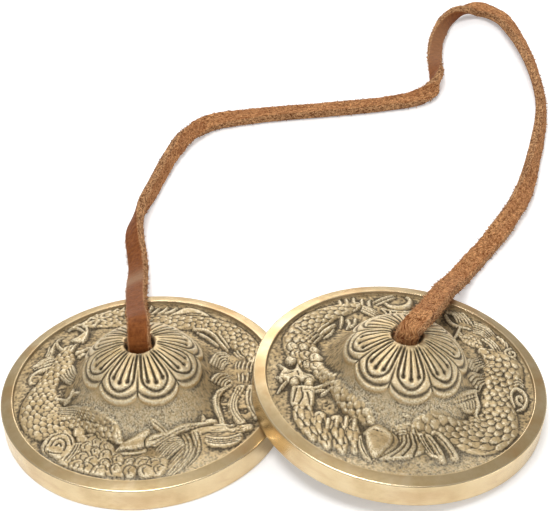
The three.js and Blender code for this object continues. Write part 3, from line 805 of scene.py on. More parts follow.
    def plate(self, outline, height=0.6, edge=0.7, soft=False):
        """A smooth raised patch with a rounded edge, or one that runs out softly."""
        p = catmull([*outline, outline[0]], 6)[:-1]
        lo, hi = p.min(0), p.max(0)
        idx = np.nonzero((self.x > lo[0]) & (self.x < hi[0]) & (self.y > lo[1]) & (self.y < hi[1]))[0]
        x, y = self.x[idx][:, None], self.y[idx][:, None]
        a, b = p, np.roll(p, -1, 0)
        climb = np.where(b[:, 1] == a[:, 1], 1e-9, b[:, 1] - a[:, 1])
        meets = (b[:, 0] - a[:, 0]) * (y - a[:, 1]) / climb + a[:, 0]
        crosses = ((a[:, 1] > y) != (b[:, 1] > y)) & (x < meets)
        inside = crosses.sum(1) % 2 == 1
        idx = idx[inside]
        gap = self.onto(idx, a, b)[3]
        d = np.sqrt((gap**2).sum(-1)).min(1)
        share = smoothstep(d, 0, edge) if soft else np.sqrt(1 - (1 - np.clip(d / edge, 0, 1)) ** 2)
        rise = height * share
        self.h[idx] = np.maximum(self.h[idx], rise)


def left_dragon(f):
    """The left cymbal's dragon, drawn on its face."""
    # swellings under the head with its mane, the ribbons and the hair
    f.mass([
        (-3.4, -22.4), (-.6, -19.4), (3, -17.4), (8, -16), (13, -14.6), (18, -13), (24, -12.6), (28, -12),
        (27, -15.6), (24, -19.4), (18, -21.6), (14.6, -25), (12.6, -28.6), (4, -30.4), (-4, -30.2),
        (-8, -29.6), (-6, -26)], .42, 1.6)
    f.mass([
        (16.8, -.6), (17.2, -5.6), (19.6, -12), (24, -12.6), (28.6, -11), (29.4, -6), (28, 0), (27, 5),
        (26.4, 10), (24, 14.6), (20, 13.6), (16.6, 12), (15.4, 7), (15.8, 2)], .36, 1.6)
    # long body behind the strap, over the back and down the right
    f.body([
        (-18.5, 22.5, 1.6), (-15, 24.6, 3.2), (-10, 25.6, 3.6), (-5, 25, 3.2), (0, 24.4, 2.8),
        (5, 24.3, 2.8), (9.5, 24, 2.9), (14, 22.8, 3.1), (18.5, 20.3, 3.4), (22, 16.8, 3.4),
        (24.6, 13, 2.7), (25.4, 10, 1.3)], 0.95, 1.6, 1.7, .55)
    # fins over the back
    for k in range(7):
        q = math.radians(-20 + 46 * k)
        f.stroke([
            (-15.5 + reach * math.cos(q), 24.3 + reach * math.sin(q), width)
            for reach, width in ((.5, .3), (1.5, .5), (2.6, .25))], .95)
    for x0, y0, x1, y1 in (
            (-15.2, 26.2, -12.6, 29.4), (-13.2, 26.3, -11, 29.9), (-11.2, 26.6, -9.4, 30.3),
            (-3.4, 27.6, -2.6, 30.6), (-2.4, 26.8, -.6, 29.4), (-.4, 27, 1.6, 29.8), (1.4, 27.2, 4.2, 29.9)):
        f.stroke([(x0, y0, .55), ((x0 + x1) / 2 + .2, (y0 + y1) / 2 - .2, .6), (x1, y1, .2)], .75)
    f.plate([
        (1.8, 26.2), (4, 28.2), (6.4, 29.8), (9.5, 29.3), (12.9, 26.6), (9.5, 26.7), (6, 26.9)], .75, .9)
    f.cut([(6, 27.2, .3), (8, 27.5, .3), (10.5, 27.2, .3)], .25)
    # mane between the back and the dome
    f.stroke([(9.4, 21.2, .4), (12.4, 20.9, .6), (15, 18.8, .6), (16.9, 15.8, .55), (18.9, 13.2, .35)], .8)
    f.stroke([(10.5, 20, .3), (12.6, 18.6, .45), (14.6, 16.8, .4), (16.4, 15, .25)], .6)
    f.stroke([(11.8, 21.8, .3), (14.8, 20.6, .4), (17.2, 17.6, .45), (19, 14.6, .3)], .7)
    # whorls of hair
    f.strands(
        [(15.6, 4.6), (15.7, 8.4), (16.3, 11.6), (17.9, 12.6), (19.6, 11.4), (21.2, 9.8)],
        [(18.3, 5.2), (18.6, 7), (19, 8.1), (19.6, 8.4), (20.1, 7.8), (20.4, 7)], 6, .33, .75)
    f.strands(
        [(16.6, -1), (17.1, 1.4), (18.1, 3.3), (19.8, 4.4), (21.4, 3.6), (22.6, 1.5)],
        [(19.4, -.6), (19.6, .6), (20, 1.5), (20.6, 1.9), (21.2, 1.4), (21.7, .6)], 5, .33, .75)
    f.strands([(21.6, 9), (21.4, 7.4), (21.8, 5.6)], [(25.6, 9.2), (25.4, 7.4), (25.2, 5.4)], 5, .38, .7)
    f.strands([(20.6, 12.6), (21.6, 11), (23.2, 9.8)], [(23, 14.4), (24, 12.6), (25.8, 11.6)], 4, .4, .7)
    f.strands([(22.4, 4.6), (22.7, 3), (22.9, 1.2)], [(26.2, 4.8), (26.2, 3), (26, 1.2)], 4, .42, .7)
    # long ribbons down to the head, with a hollow between them
    f.plate([
        (20.6, .8), (18.8, -1.2), (17.6, -3.6), (17.2, -5.8), (18, -8.8), (19.2, -11.2), (19.8, -13.4),
        (21, -13.2), (20.4, -11), (19.6, -8.8), (18.7, -6), (18.8, -4), (19.8, -1.6), (21.2, .2)], .9, .5)
    f.plate([
        (22.4, .6), (21.4, -2.4), (20.9, -5.4), (21.1, -8.2), (22.4, -10.8), (24, -13), (25.8, -12.4),
        (24.4, -10), (23.4, -7.4), (23.2, -4.4), (24.2, -1.6), (24.6, .4)], .9, .6)
    f.plate([
        (25, .8), (24.6, -2.4), (25.2, -6), (26.6, -9), (28, -11.2), (28.6, -10), (27.4, -7.4),
        (26.6, -4.4), (26.6, -1), (26.2, .8)], .62, .5)
    f.lines([
        [(20.4, 0), (18.7, -2.2), (18, -5), (18.4, -7.6), (19.6, -10.8), (20.2, -12.8)],
        [(22.8, -.6), (22, -4), (22, -7.6), (23, -10.2), (24.6, -12.4)],
        [(23.7, -.6), (22.7, -4), (22.6, -7.2), (23.8, -9.8), (25.2, -12)],
        [(21.9, -1.4), (21.4, -4.6), (21.5, -8), (22.6, -10.6)],
        [(25.7, -1), (25.8, -4.8), (26.8, -8), (28, -10)]], .26, .4)
    f.lines([[(21.8, -.6), (24.6, -2.6)], [(21.6, -1.8), (24, -3.8)], [(22.4, .4), (25, -1.4)]], .24, .34)
    f.speckle((19.9, -4.6), 1.5, .28)
    f.speckle((20.3, -7.6), 1.4, .26)
    f.speckle((25, -8.2), 1.5, .26)
    # body up the left side, with its crest of spikes and rays
    f.body([
        (-17.2, -17.6, 2.6), (-19.6, -15.9, 4.6), (-22.6, -12.4, 5.6), (-24.2, -8.2, 5), (-24.6, -3.6, 3.6),
        (-24, .4, 2.6), (-23, 3.4, 2.7), (-21.8, 6.6, 2.7), (-21.6, 9.6, 2.6), (-21.6, 12.6, 1.5)], 1.1,
        1.5, 1.75, .55)
    for line in (
            [(-21.2, 11.4, .5), (-23.4, 13, .5), (-24.7, 15.2, .4), (-23.6, 17.6, .12)],
            [(-25.4, 11.6, .5), (-25.2, 13.6, .4), (-24.9, 15.6, .15)],
            [(-22.3, 11.6, .45), (-21.8, 13.2, .3), (-21, 14.4, .15)],
            [(-21.4, 11.6, .45), (-21, 13.2, .3), (-20.6, 14.6, .15)],
            [(-20.4, 11.9, .7), (-20, 13.6, .45), (-19.4, 14.9, .2)],
            [(-18.8, 11.4, .7), (-17.2, 12.3, .45), (-15.8, 13.8, .12)],
            [(-18, 9.8, .5), (-16.9, 10.6, .3), (-16.4, 11.4, .1)]):
        f.stroke(line, .85)
    f.strands(
        [(-24.8, 10.2), (-27.2, 8.4), (-29.2, 6.2)], [(-23.6, 7.8), (-26, 6.6), (-28.6, 5.2)], 4, .33, .75)
    f.strands(
        [(-26.4, 13.6), (-26.3, 11.6), (-26.6, 10)],
        [(-24.9, 12.2), (-25.2, 10.8), (-25.6, 9.8)], 3, .36, .75)
    f.strands(
        [(-24.2, 6.2), (-26.8, 4.9), (-29, 3.2)], [(-25.2, 4.8), (-27.4, 3.8), (-29.2, 1.8)], 3, .36, .75)
    f.plate([(-29.2, 2.6), (-27, 3.2), (-25.6, 2.6), (-26.4, .6), (-28.4, -.4), (-29.2, .8)], .5, 1.2)
    f.speckle((-27.5, 1.4), 1.3, .24)
    # tail of that body along the dome's foot
    f.body([
        (-20, -11.4, 2.6), (-17, -12.2, 3.1), (-13.5, -13.2, 2.8), (-10, -14.8, 2.4), (-7, -16.3, 2.2),
        (-4.5, -18, 1.8), (-2.6, -20, .9)], 1.0, 1.35, 1.35, .55)
    f.plate([
        (-20, -8.4), (-16, -8.8), (-12.4, -11.2), (-8, -13.8), (-4.6, -15.8), (-5.4, -16.8), (-9.6, -15),
        (-13.6, -12.8), (-17.6, -11.4)], .8, .5)
    f.lines([
        [(-19.4, -9 - .55 * k), (-15.6, -9.6 - .6 * k), (-12.2, -11.8 - .55 * k), (-8.4, -14 - .45 * k),
         (-5.2, -15.9 - .3 * k)] for k in range(4)], .25, .34)
    # foot
    f.strands([(-19, 6.4), (-18, 3.6), (-16.6, .4)], [(-21.4, 2.6), (-19.8, .8), (-17.8, -1.6)], 6, .34, .8)
    f.speckle((-20, -2.6), 1.6, .26)
    f.stroke([(-21, -5.4, .5), (-19.4, -6, .6), (-17.6, -6.6, .6), (-16, -6.2, .5), (-14.6, -6.8, .3)], .85)
    f.stroke([(-18.2, -7.3, .4), (-16.7, -6.4, .45), (-16.4, -4.4, .15)], .85)
    f.stroke([(-20.2, -6.6, .4), (-20.9, -4.9, .35), (-20.4, -3.9, .15)], .7)
    # hook
    f.stroke([(-22.6, 20.2, .25), (-21.6, 21.2, .35), (-19.9, 20.8, .35), (-18.6, 19.8, .3)], .7)
    f.stroke([
        (-21.6, 21.6, .2), (-20, 22.4, .35), (-18.4, 21.4, .4), (-17.7, 19.6, .5), (-18, 17.6, .7),
        (-18.3, 16.2, .8)], .8)
    f.plate([
        (-21.6, 16.3), (-19.8, 17.8), (-18.4, 19.8), (-17.5, 19.4), (-17.4, 16.2), (-19.2, 15.4)], .75, .7)
    # curled cloud and bars at the front left
    f.plate([
        (-21.5, -21.5), (-20.6, -18.8), (-18.6, -16.9), (-16, -16.9), (-14, -18.6), (-13.4, -21),
        (-14, -23.6), (-16, -26), (-18.6, -24.6), (-20.8, -23.2)], .85, .8)
    f.plate([(-13.8, -20.4), (-11.2, -20.2), (-11.6, -22.6), (-12.7, -26), (-15.8, -26.6)], .85, .6)
    f.plate([
        (-14.6, -15.2), (-12.4, -15), (-11.6, -16.4), (-12, -18.2), (-14, -18.2), (-14.8, -16.8)], .75, .9)
    # scaly body along the front
    f.body([
        (-12.4, -18.6, 1.3), (-10.4, -19.4, 2.6), (-8, -21, 3.1), (-5.8, -23, 2.6), (-4.4, -24, 1.6)], .95,
        1.7, 2, .5)
    f.body([
        (-15.6, -26.4, 1), (-12.4, -26.4, 2.2), (-9, -26.6, 2.9), (-5.4, -27.2, 2.9), (-1.6, -28, 2.2)],
        .85, 2.2, 2.4, .5)
    # head: snout and lip, brow drawn out into a smooth horn, mane
    f.plate([
        (-4, -23.2), (-3.3, -21.4), (-2.4, -19.8), (-.4, -18.7), (2, -17.5), (3.8, -17), (4, -19),
        (3.6, -20.8), (1.8, -21.9), (-1.4, -22.5)], .85, 1.0)
    f.plate([
        (-4.2, -24.2), (-4, -23.3), (-1.6, -22.9), (1.8, -22.4), (3.4, -21.4), (3.8, -22.6), (1.8, -23.6),
        (-1.6, -24)], .75, .5)
    f.plate([
        (2.9, -21), (3.1, -18.8), (4.3, -17.6), (6, -16.9), (8, -16.4), (11, -14.3), (14, -13), (16, -12.2),
        (18.7, -11.5), (19, -12.6), (16.4, -13.6), (13, -15), (10.4, -16.6), (8.6, -18.2), (6.6, -20.2),
        (5, -21.2)], .98, 1.0)
    f.plate([(15, -12.8), (15.3, -10.6), (16.4, -11.6), (17.8, -11.2), (17.6, -12.2)], .9, .6)
    f.plate([(3.6, -15.3), (5, -15.2), (7, -16), (8.2, -17), (6.6, -17.3), (4.6, -16.6)], 1.0, .5)
    f.strands(
        [(9.6, -17.2), (7.4, -18.6), (6, -20.4), (5, -22.6)],
        [(12.6, -19.4), (10.6, -21.8), (8.8, -24.6), (7.2, -27.6)], 8, .38, .85)
    f.strands(
        [(13, -19.4), (11.4, -22.2), (9.8, -25.4), (8, -29)],
        [(14.6, -21.4), (14, -24), (12.6, -26.8), (10.6, -29.4)], 5, .4, .7)
    f.mass([
        (12.4, -15.2), (14, -14), (17, -13.1), (20, -13.2), (22, -14.6), (18.4, -16.2), (16.2, -17.4),
        (16, -20), (16.4, -22), (15.2, -22.8), (13.8, -20.8), (12.6, -18)], .75, .7)
    f.mass([
        (16, -15.9), (18.6, -16.5), (22, -16.4), (25.4, -15), (25.6, -18), (22.8, -20.6), (19, -21),
        (16.2, -19.6)], .8, .7)
    f.hatch(
        [(16.8, -17.6), (19.4, -18.3), (22.2, -18), (25, -16.8)],
        [(17.6, -19.2), (19.4, -19.6), (21.8, -19.5), (24.2, -18.4)], 3, .27, .42)
    f.hatch(
        [(11, -16.8), (12.2, -19.2), (12.6, -23), (10.6, -27.6)],
        [(14.8, -16), (15.9, -19), (16, -22.4), (13.6, -26.8)], 5, .22, .36)
    f.strands(
        [(17.4, -15.6), (20.4, -15.4), (24, -14.2)],
        [(18.4, -13.2), (20.8, -13.4), (25, -12.4)], 5, .36, .78)
    f.body([(21, -14.6, .8), (24, -14.6, 1.6), (26.6, -13.6, 1)], .75, 1.1, 1.1)
    # cloud under the head
    f.plate([
        (3.4, -30.4), (2.8, -27.8), (3.1, -25.6), (4.8, -24.2), (6.8, -24.2), (9, -24.6), (9.4, -27),
        (8, -30)], .72, 1.0)
    # engraved lines of the cloud, the bars, the head and the mane
    f.lines([
        [(-19.8, -21), (-19.6, -19.4), (-18.6, -18.2), (-17, -17.5), (-15.5, -18.1), (-14.6, -19.6),
         (-14.1, -21)],
        [(-18.9, -21.6), (-18.5, -20), (-17.2, -19.1), (-16, -19.8), (-15.4, -21.4), (-15.6, -23)],
        [(-17.8, -21.5), (-17, -20.7), (-16.5, -21.7)], [(-19.4, -23.4), (-17.8, -23.9), (-16, -24)],
        [(-20.2, -21.4), (-20.2, -23), (-18.8, -24.4)], [(-13.2, -20.9), (-13.7, -23.2), (-14.9, -26)],
        [(-12.6, -20.8), (-13, -23.2), (-14.1, -26)], [(-12, -20.7), (-12.3, -23), (-13.3, -25.8)]], .28,
        .42)
    f.lines([
        [(4.3, -15.7), (5.8, -16.1), (7.2, -16.8)], [(2.9, -20.8), (2.9, -19), (4, -17.9), (5.8, -17.2)],
        [(3.4, -21.2), (5.2, -20.4), (6.4, -19.2), (8.2, -17.5), (9.8, -16.2), (11.6, -15), (14.2, -13.9)],
        [(3.9, -19.4), (5.2, -18.9), (7, -17.8)], [(-3, -22.6), (-.8, -22), (1.6, -21.8), (3, -21.2)],
        [(15.8, -12.6), (16.2, -11.8)], [(13.2, -16.4), (14, -18.6), (15.2, -21.6)],
        [(3.4, -25.6), (5, -24.6), (6.8, -24.5), (8.6, -23.6), (10, -21.8)]], .27, .4)
    # scalloped leaves under the head
    f.plate([
        (-12.4, -20), (-8.6, -18.2), (-5.2, -20.4), (-3.6, -23.6), (0, -23.8), (4, -23.2), (6.6, -24.4),
        (8.8, -25), (8.4, -29.2), (2.8, -30.2), (-5, -30.3), (-12, -29.2), (-15.4, -27)], .52, 1.1)
    f.lumps([
        (-10.6, -21.4), (-8.4, -19.7), (-8.2, -22.6), (-11, -24.6), (-6, -21.2), (-5.7, -23.9)], 1.3, .72,
        14)
    f.lumps([
        (-8.6, -26), (-5.4, -26.6), (-2.6, -25), (-11.9, -27.4), (-9.4, -28.7), (-6.4, -29), (-2.6, -28.2),
        (.3, -25.9), (.8, -28.7), (3.2, -26), (4.2, -28.8), (5.9, -26), (7.4, -28)], 1.6, .74, 8)
    f.speckle((22.6, -13.4), 1.5, .22)


def right_dragon(f):
    """The right cymbal's dragon, drawn on its face."""
    # swellings under the hair at the right and the leaves at the front
    f.mass([
        (11.4, 26), (15.8, 26.4), (20.6, 23.6), (25, 19.6), (28, 15.6), (28.6, 11.6), (25, 10.6), (21, 13),
        (17, 15.4), (14, 17.4), (12.6, 21)], .36, 1.5)
    f.mass([
        (-8.4, -22), (-7.4, -18.4), (-4, -17), (0, -17), (4.4, -19), (9, -18), (12, -21), (13.4, -25.6),
        (9, -27.6), (2, -28.6), (-4.6, -28.4), (-8, -27)], .34, 1.6)
    f.mass([
        (-10.6, 26.6), (-6, 28.6), (-2, 31), (3, 30.6), (3.6, 26), (3.4, 22), (-1, 21), (-6, 21.6),
        (-10.4, 22.6)], .3, 1.4)
    # outer body over the left
    f.body([
        (-11, 25.4, 1.4), (-14, 23.8, 2.2), (-17.6, 21.4, 2.8), (-21.4, 18, 3.3), (-24, 13.6, 3.7),
        (-24.6, 9, 4.1), (-23.2, 4.6, 3.8), (-21, 1.4, 2.3)], 1.0, 1.6, 1.8, .55)
    f.body([
        (-6.6, -17, .9), (-8.4, -15.6, 1.8), (-11, -13.6, 2), (-13.4, -10.8, 1.7), (-15, -8, 1.4),
        (-17.2, -4.6, 1.4), (-19, -1.6, 1.6), (-20, 1.4, 1.2)], .95, 1.3, 1.5, .55)
    f.stroke([(-19.6, 12.8, .4), (-18.2, 14.8, .8), (-16.3, 16.9, .45)], .85)
    f.stroke([(-20.4, 13.6, .3), (-19.4, 15.6, .5), (-17.8, 17.4, .3)], .7)
    f.stroke([(-18.6, 11.8, .3), (-17.2, 13.6, .4), (-16.4, 15.4, .25)], .6)
    f.strands(
        [(-26.8, 13.6), (-24.8, 11.8), (-22.6, 9.9)],
        [(-25.6, 14.8), (-23.6, 13), (-21.6, 11.4)], 2, .4, .95)
    f.strands(
        [(-23.4, 11.2), (-22.4, 12.8), (-21.2, 14.4)], [(-21, 9.4), (-20, 11), (-19, 12.8)], 4, .4, .9)
    for k, (x, y) in enumerate([(-15.2, 26.2), (-13.6, 27), (-11.8, 27.6), (-9.8, 27.6), (-8, 27.4)]):
        f.stroke([(x + .2, y - 1.8, .5), (x, y - .4, .5), (x - .5 + .2 * k, y + .8, .2)], .75)
    f.strands(
        [(-9.4, 25.6), (-7.4, 24.6), (-5.2, 23.4)], [(-9.8, 23.6), (-7.8, 22.6), (-5.8, 21.6)], 4, .36, .75)
    f.stroke([(-13.2, 19.4, .5), (-12.6, 17.8, .6), (-13.2, 16, .2)], .7)
    f.stroke([(-11.2, 20, .5), (-11.4, 18.2, .5), (-12.4, 16.4, .2)], .6)
    f.stroke([(-14.6, 20.2, .5), (-14.6, 18, .5), (-14.8, 16.4, .2)], .7)
    # long strokes and the crescent at the back
    f.stroke([(-6.8, 27.2, .3), (-4.4, 29.2, .5), (-2, 30.7, .25)], .75)
    f.stroke([(-6, 26.4, .3), (-3.6, 28.3, .45), (-1.4, 30, .25)], .7)
    f.stroke([
        (-3.9, 27.1, .35), (-2.6, 26.1, .8), (-.2, 26, 1.15), (1.9, 27.3, 1.05), (2.5, 29.2, .7),
        (1.5, 30.7, .2)], .9)
    f.stroke([(-6.4, 20.8, .4), (-4, 21.8, .5), (-1.6, 21.5, .5), (0, 20.2, .3)], .6)
    f.strands(
        [(-4.4, 24.6), (-3.6, 23.4), (-3.8, 22.4)], [(3.6, 24.4), (2.8, 23.2), (2.8, 22.2)], 6, .42, .65)
    f.stroke([(-4.8, 25, .3), (-1.6, 24.6, .35), (1.8, 24.8, .35), (4.2, 26, .25)], .7)
    # right of the strap
    f.stroke([(11.4, 25.2, .3), (12.2, 23, .5), (13.4, 21.6, .5), (15.2, 20.8, .4), (17.4, 20.4, .25)], .8)
    f.stroke([(14.9, 21, .45), (14.3, 18.6, .5), (13.2, 16.2, .2)], .75)
    f.strands(
        [(11.8, 26.4), (13.4, 25.2), (14.6, 22.4)], [(15.6, 26.4), (17.4, 23.6), (18.4, 21.2)], 5, .42, .8)
    f.strands(
        [(18.6, 23.4), (21.6, 21.8), (24, 18.8)], [(18.2, 19.4), (20.2, 18.6), (21.8, 16.6)], 6, .36, .75)
    f.strands([(20.2, 17), (22.2, 15), (23.9, 11.8)], [(21.8, 17.6), (23.6, 15.4), (25, 12.4)], 3, .4, .8)
    f.body([(14.6, 18.4, .8), (16.6, 17.2, 1.8), (18.8, 15.4, 1.7), (20, 14, .8)], .65, 1, 1)
    f.strands([(24.2, 18.6), (25, 17.2), (25.4, 15.4)], [(27.4, 16), (27.4, 15), (27.2, 13.8)], 4, .42, .7)
    f.curl((27.2, 12.6), 1.7, 1.5, 90, .42, 1, .8)
    # big body over the front and up the right
    f.body([
        (20.2, 12.8, 1.2), (22, 11.6, 2.6), (24.6, 8.6, 4.8), (24.8, 4, 4.8), (23.4, 0, 3.9),
        (22.8, -4.8, 3.7), (23, -9.6, 4.6), (21.2, -14.4, 6.1), (17.6, -17.2, 5.9), (13.8, -17, 4.7),
        (10.2, -16, 3.1), (6.6, -16.4, 2.5), (4, -17.6, 1.8), (2.8, -18.8, .8)], 1.1, 1.8, 2.0, .66)
    f.strands(
        [(15.3, 1.5), (15.8, 5), (16.8, 8), (18.8, 10)],
        [(17.8, 3.4), (18.4, 5), (19.4, 6.6), (20.8, 8)], 5, .34, .8)
    f.strands(
        [(15.4, -2), (16.4, .6), (18, 2.6), (20, 4.4)],
        [(18.4, -2.8), (18.9, -1), (19.8, .6), (21, 2)], 5, .34, .8)
    # spiral at the right
    f.stroke([
        (26.9, -6.2, .3), (26.4, -3.6, .45), (26.5, -1.2, .5), (27.7, .2, .5), (29.4, -1, .5),
        (29.9, -3.8, .5), (28.8, -6.6, .4), (27.6, -7.2, .2)], .75)
    f.stroke([(28.6, -5.4, .3), (27.7, -4.6, .4), (27.7, -2.9, .4), (28.6, -2.5, .4), (28.9, -3.8, .3)], .8)
    f.strands([(27.2, 1), (28.4, 1.7), (29.8, 1)], [(27, 3), (28.2, 3.7), (29.6, 3)], 3, .36, .85)
    # fin by the dome
    f.stroke([(11.2, -10.7, .3), (13.6, -8.2, .45), (16, -5.4, .5), (17.6, -3.6, .4)], .7)
    f.stroke([(17.2, -4.6, .5), (18.2, -7.4, .65), (17.6, -10.4, .5), (18.4, -12.2, .3)], .85)
    f.plate([(11.6, -10.4), (14.4, -7.8), (17.2, -4.8), (17.6, -7), (17.2, -9.8), (15, -10.8)], .6, .6)
    f.lines([[(12.2, -10.8), (14.2, -8.9), (16.2, -6.9), (17.4, -5.6)]], .25, .36)
    f.lines([
        [(12.8 + .8 * k, -9.4 + .8 * k), (13.8 + .75 * k, -10.8 + .5 * k)] for k in range(6)], .25, .36)
    # spiky crown
    f.plate([
        (-28.9, .4), (-27.4, -.4), (-26.2, -1.2), (-25.2, -.6), (-24.6, 1.5), (-23.8, -.2), (-22.6, -1.8),
        (-20.6, -2.4), (-20, -4.4), (-21.4, -5), (-23, -4.6), (-24.4, -4.6), (-26, -5.6), (-27.4, -4.6),
        (-28.6, -4.4), (-28.4, -2.4), (-28, -1)], .95, .8)
    for line in (
            [(-27.2, -1.6, .5), (-28.2, -.6, .4), (-29, .6, .15)],
            [(-28, -5, .5), (-28.6, -4.4, .35), (-29.4, -3.8, .12)],
            [(-26.9, -5.6, .35), (-27.6, -7, .45), (-28.6, -9.4, .15)],
            [(-19.8, -6.6, .5), (-18, -6.2, .5), (-15.6, -6.6, .4)],
            [(-18.2, -8.8, .4), (-16.6, -8, .45), (-14.4, -8.1, .3)],
            [(-19.4, -7.6, .4), (-17.6, -7.5, .3)]):
        f.stroke(line, .9)
    f.lumps([
        (-26.2, 7.2), (-23.6, 7.4), (-21, 6.6), (-25, 4.6), (-22.6, 4.4), (-20.4, 3.8), (-26.4, 2.2),
        (-22.2, 1.6), (-20.2, .9)], 1.4, 1.0, 36)
    # muzzle with its round cheeks, below the brows
    f.plate([
        (-25.4, -6.6), (-23.4, -6.2), (-20.2, -6.2), (-19.9, -8.6), (-20.3, -12.8), (-22.6, -13.4),
        (-25, -13), (-25.6, -9.6)], .85, .7)
    for x, y, size in ((-24.9, -5.2, 1.0), (-21.5, -5.3, .9)):
        f.stroke([(x - .2, y, size), (x + .2, y, size)], 1.0, .5)
    for x, y in (
            (-18.8, -.6), (-18.2, -1.9), (-17.4, -3), (-16.6, -4.1), (-15.6, -5), (-14.4, -5.8),
            (-13, -6.5)):
        f.stroke([(x - .1, y, .5), (x + .1, y, .5)], .95, .5)
    # front left body with long scales
    for line in (
            [(-22.6, -11.6, 2), (-22.2, -15, 2.6), (-21, -19, 2.4), (-19.6, -22.6, 1.4)],
            [(-18.4, -15.6, 1.6), (-18, -19, 2.4), (-17, -22.6, 2), (-16.2, -25.2, 1)],
            [(-14.4, -16.4, 1.8), (-14.2, -20, 2.6), (-13.4, -23.6, 2.2), (-12.8, -26.2, 1)],
            [(-10.8, -16.8, 1.2), (-10.8, -20, 1.8), (-10.4, -23.6, 1.4), (-10, -26, .7)]):
        f.body(line, 1.0, 2.6, 1.65, .62)
    for x, y in ((-14.4, -17.4), (-12.3, -17.1), (-10.4, -17.8), (-16.5, -18.2)):
        f.stroke([(x + .1, y + 1.4, .6), (x, y, .72), (x - .1, y - 1.4, .6)], 1.0, .45)
    # rounded lobe, tail fan and long leaves at the front
    f.plate([
        (-8.3, -19.6), (-7.3, -18.3), (-5.5, -17.5), (-3.2, -18.3), (-1.8, -19.4), (-1.3, -20.8),
        (-1.9, -23), (-2.9, -24.6), (-4, -26.2), (-5.2, -27.2), (-6.5, -27), (-7.4, -24.4), (-8, -21.8)],
        .95, 1.3)
    f.plate([
        (-9.4, -21.2), (-8.7, -20.6), (-8.3, -23), (-7.3, -26), (-6.2, -28.6), (-7.6, -28.2), (-9.2, -25)],
        .8, .5)
    f.plate([
        (-1.5, -18), (.4, -17.4), (2.6, -17), (3.6, -19), (4.8, -21.4), (5.8, -23.8), (3.4, -26), (.8, -27),
        (-2.2, -27.6), (-4.6, -27.4), (-2.4, -25.4), (-.5, -23.4), (.3, -21.4), (-.3, -19.6)], .8, .6)
    f.plate([
        (3.4, -18.6), (5, -18.4), (6.4, -20.8), (7.6, -23.2), (8.8, -25.8), (7.2, -25.6), (5.4, -23.4),
        (4.2, -21)], .85, .5)
    f.hatch(
        [(.6, -19.6), (.6, -21.6), (-.9, -24.2), (-3.9, -27)],
        [(3.4, -19.4), (4, -21.4), (4.2, -23), (3.6, -25.6)], 4, .36, .46)
    f.hatch([(1.4, -18.2), (2.2, -20), (2.4, -22)], [(3.2, -17.8), (4, -19.4), (4.6, -21.4)], 3, .2, .3)
    f.hatch([(4, -19.2), (5, -21.6), (6.4, -24.2)], [(5.4, -19.2), (6.4, -21.6), (8, -24.8)], 3, .25, .38)
    f.hatch([(-1.6, -18.5), (.2, -18), (2, -17.7)], [(-.3, -20), (.8, -19.6), (2, -19.2)], 4, .22, .36)
    f.strands(
        [(0, -15), (1.4, -15.1), (2.8, -15.4)], [(.2, -16.2), (1.4, -16.2), (2.6, -16.3)], 3, .26, .62)
    f.plate([
        (5.6, -18.4), (6.9, -18.6), (8.4, -20.6), (9.8, -23.4), (10.5, -26.6), (9, -27), (7.9, -24.2),
        (6.6, -21.2)], .95, .8)
    f.plate([
        (7.4, -17.6), (8.8, -17.2), (10.8, -19), (12.2, -21.4), (13.5, -25.2), (12, -26), (10.6, -23),
        (9, -20.2)], 1.0, .9)
    # engraved lines of the crown, the muzzle, the lobe, the neck and the leaves
    f.lines([
        [(-26.3, -6), (-25.8, -4.4), (-24.8, -3.7), (-23.8, -4.3), (-23.4, -5.2)],
        [(-23, -5), (-22.2, -3.9), (-20.8, -3.6), (-20.2, -4.6)],
        [(-24.2, -7.4), (-24.5, -9.6), (-24.8, -12.2)], [(-23.2, -7.2), (-22.7, -10), (-23.4, -12.6)],
        [(-21.8, -8.6), (-21.2, -10.4), (-20.9, -12.4)], [(-22.5, -7.8), (-21.4, -7.5), (-20.4, -8.1)],
        [(-27.6, -3), (-26.4, -2.6), (-25.4, -1.8)], [(-24.4, -1.8), (-24, -3)],
        [(-22.8, -2.6), (-21.6, -3), (-20.6, -3.2)]], .27, .42)
    f.lines([
        [(-1.7, -18.9), (-.3, -20.3), (-.2, -22), (-1.2, -23.9), (-2.7, -25.5), (-4.2, -26.9)],
        [(-7.9, -20.6), (-7.7, -23.4), (-6.9, -26), (-6, -28)],
        [(5.6, -14.9), (3.8, -15.6), (2.6, -16.6), (2.2, -18.4), (2.2, -20.2)],
        [(6.4, -19.2), (7.8, -21.6), (9.2, -24.8)],
        [(8.3, -18.4), (9.8, -20.2), (11.2, -22.6), (12.2, -25)],
        [(-8.9, -22), (-8.4, -24.8), (-7.2, -27.4)]], .28, .42)
    for x, y in ((-6, -18.8), (-5.2, -19), (-4.2, -19.3)):
        f.cut([(x, y, .3), (x + .05, y, .3)], .4)
    f.speckle((-17, -12), 1.6, .12)


def blurred(values, rings, turns):
    """Values over the polar grid, averaged over a few rings and segments."""
    out = values
    for _ in range(2):
        pad = np.pad(out, ((rings, rings), (0, 0)), mode="edge")
        total = np.cumsum(np.vstack([np.zeros((1, pad.shape[1])), pad]), 0)
        out = (total[2 * rings + 1:] - total[:-2 * rings - 1]) / (2 * rings + 1)
        pad = np.concatenate([out[:, -turns:], out, out[:, :turns]], 1)
        total = np.cumsum(np.hstack([np.zeros((pad.shape[0], 1)), pad]), 1)
        out = (total[:, 2 * turns + 1:] - total[:, :-2 * turns - 1]) / (2 * turns + 1)
    return out


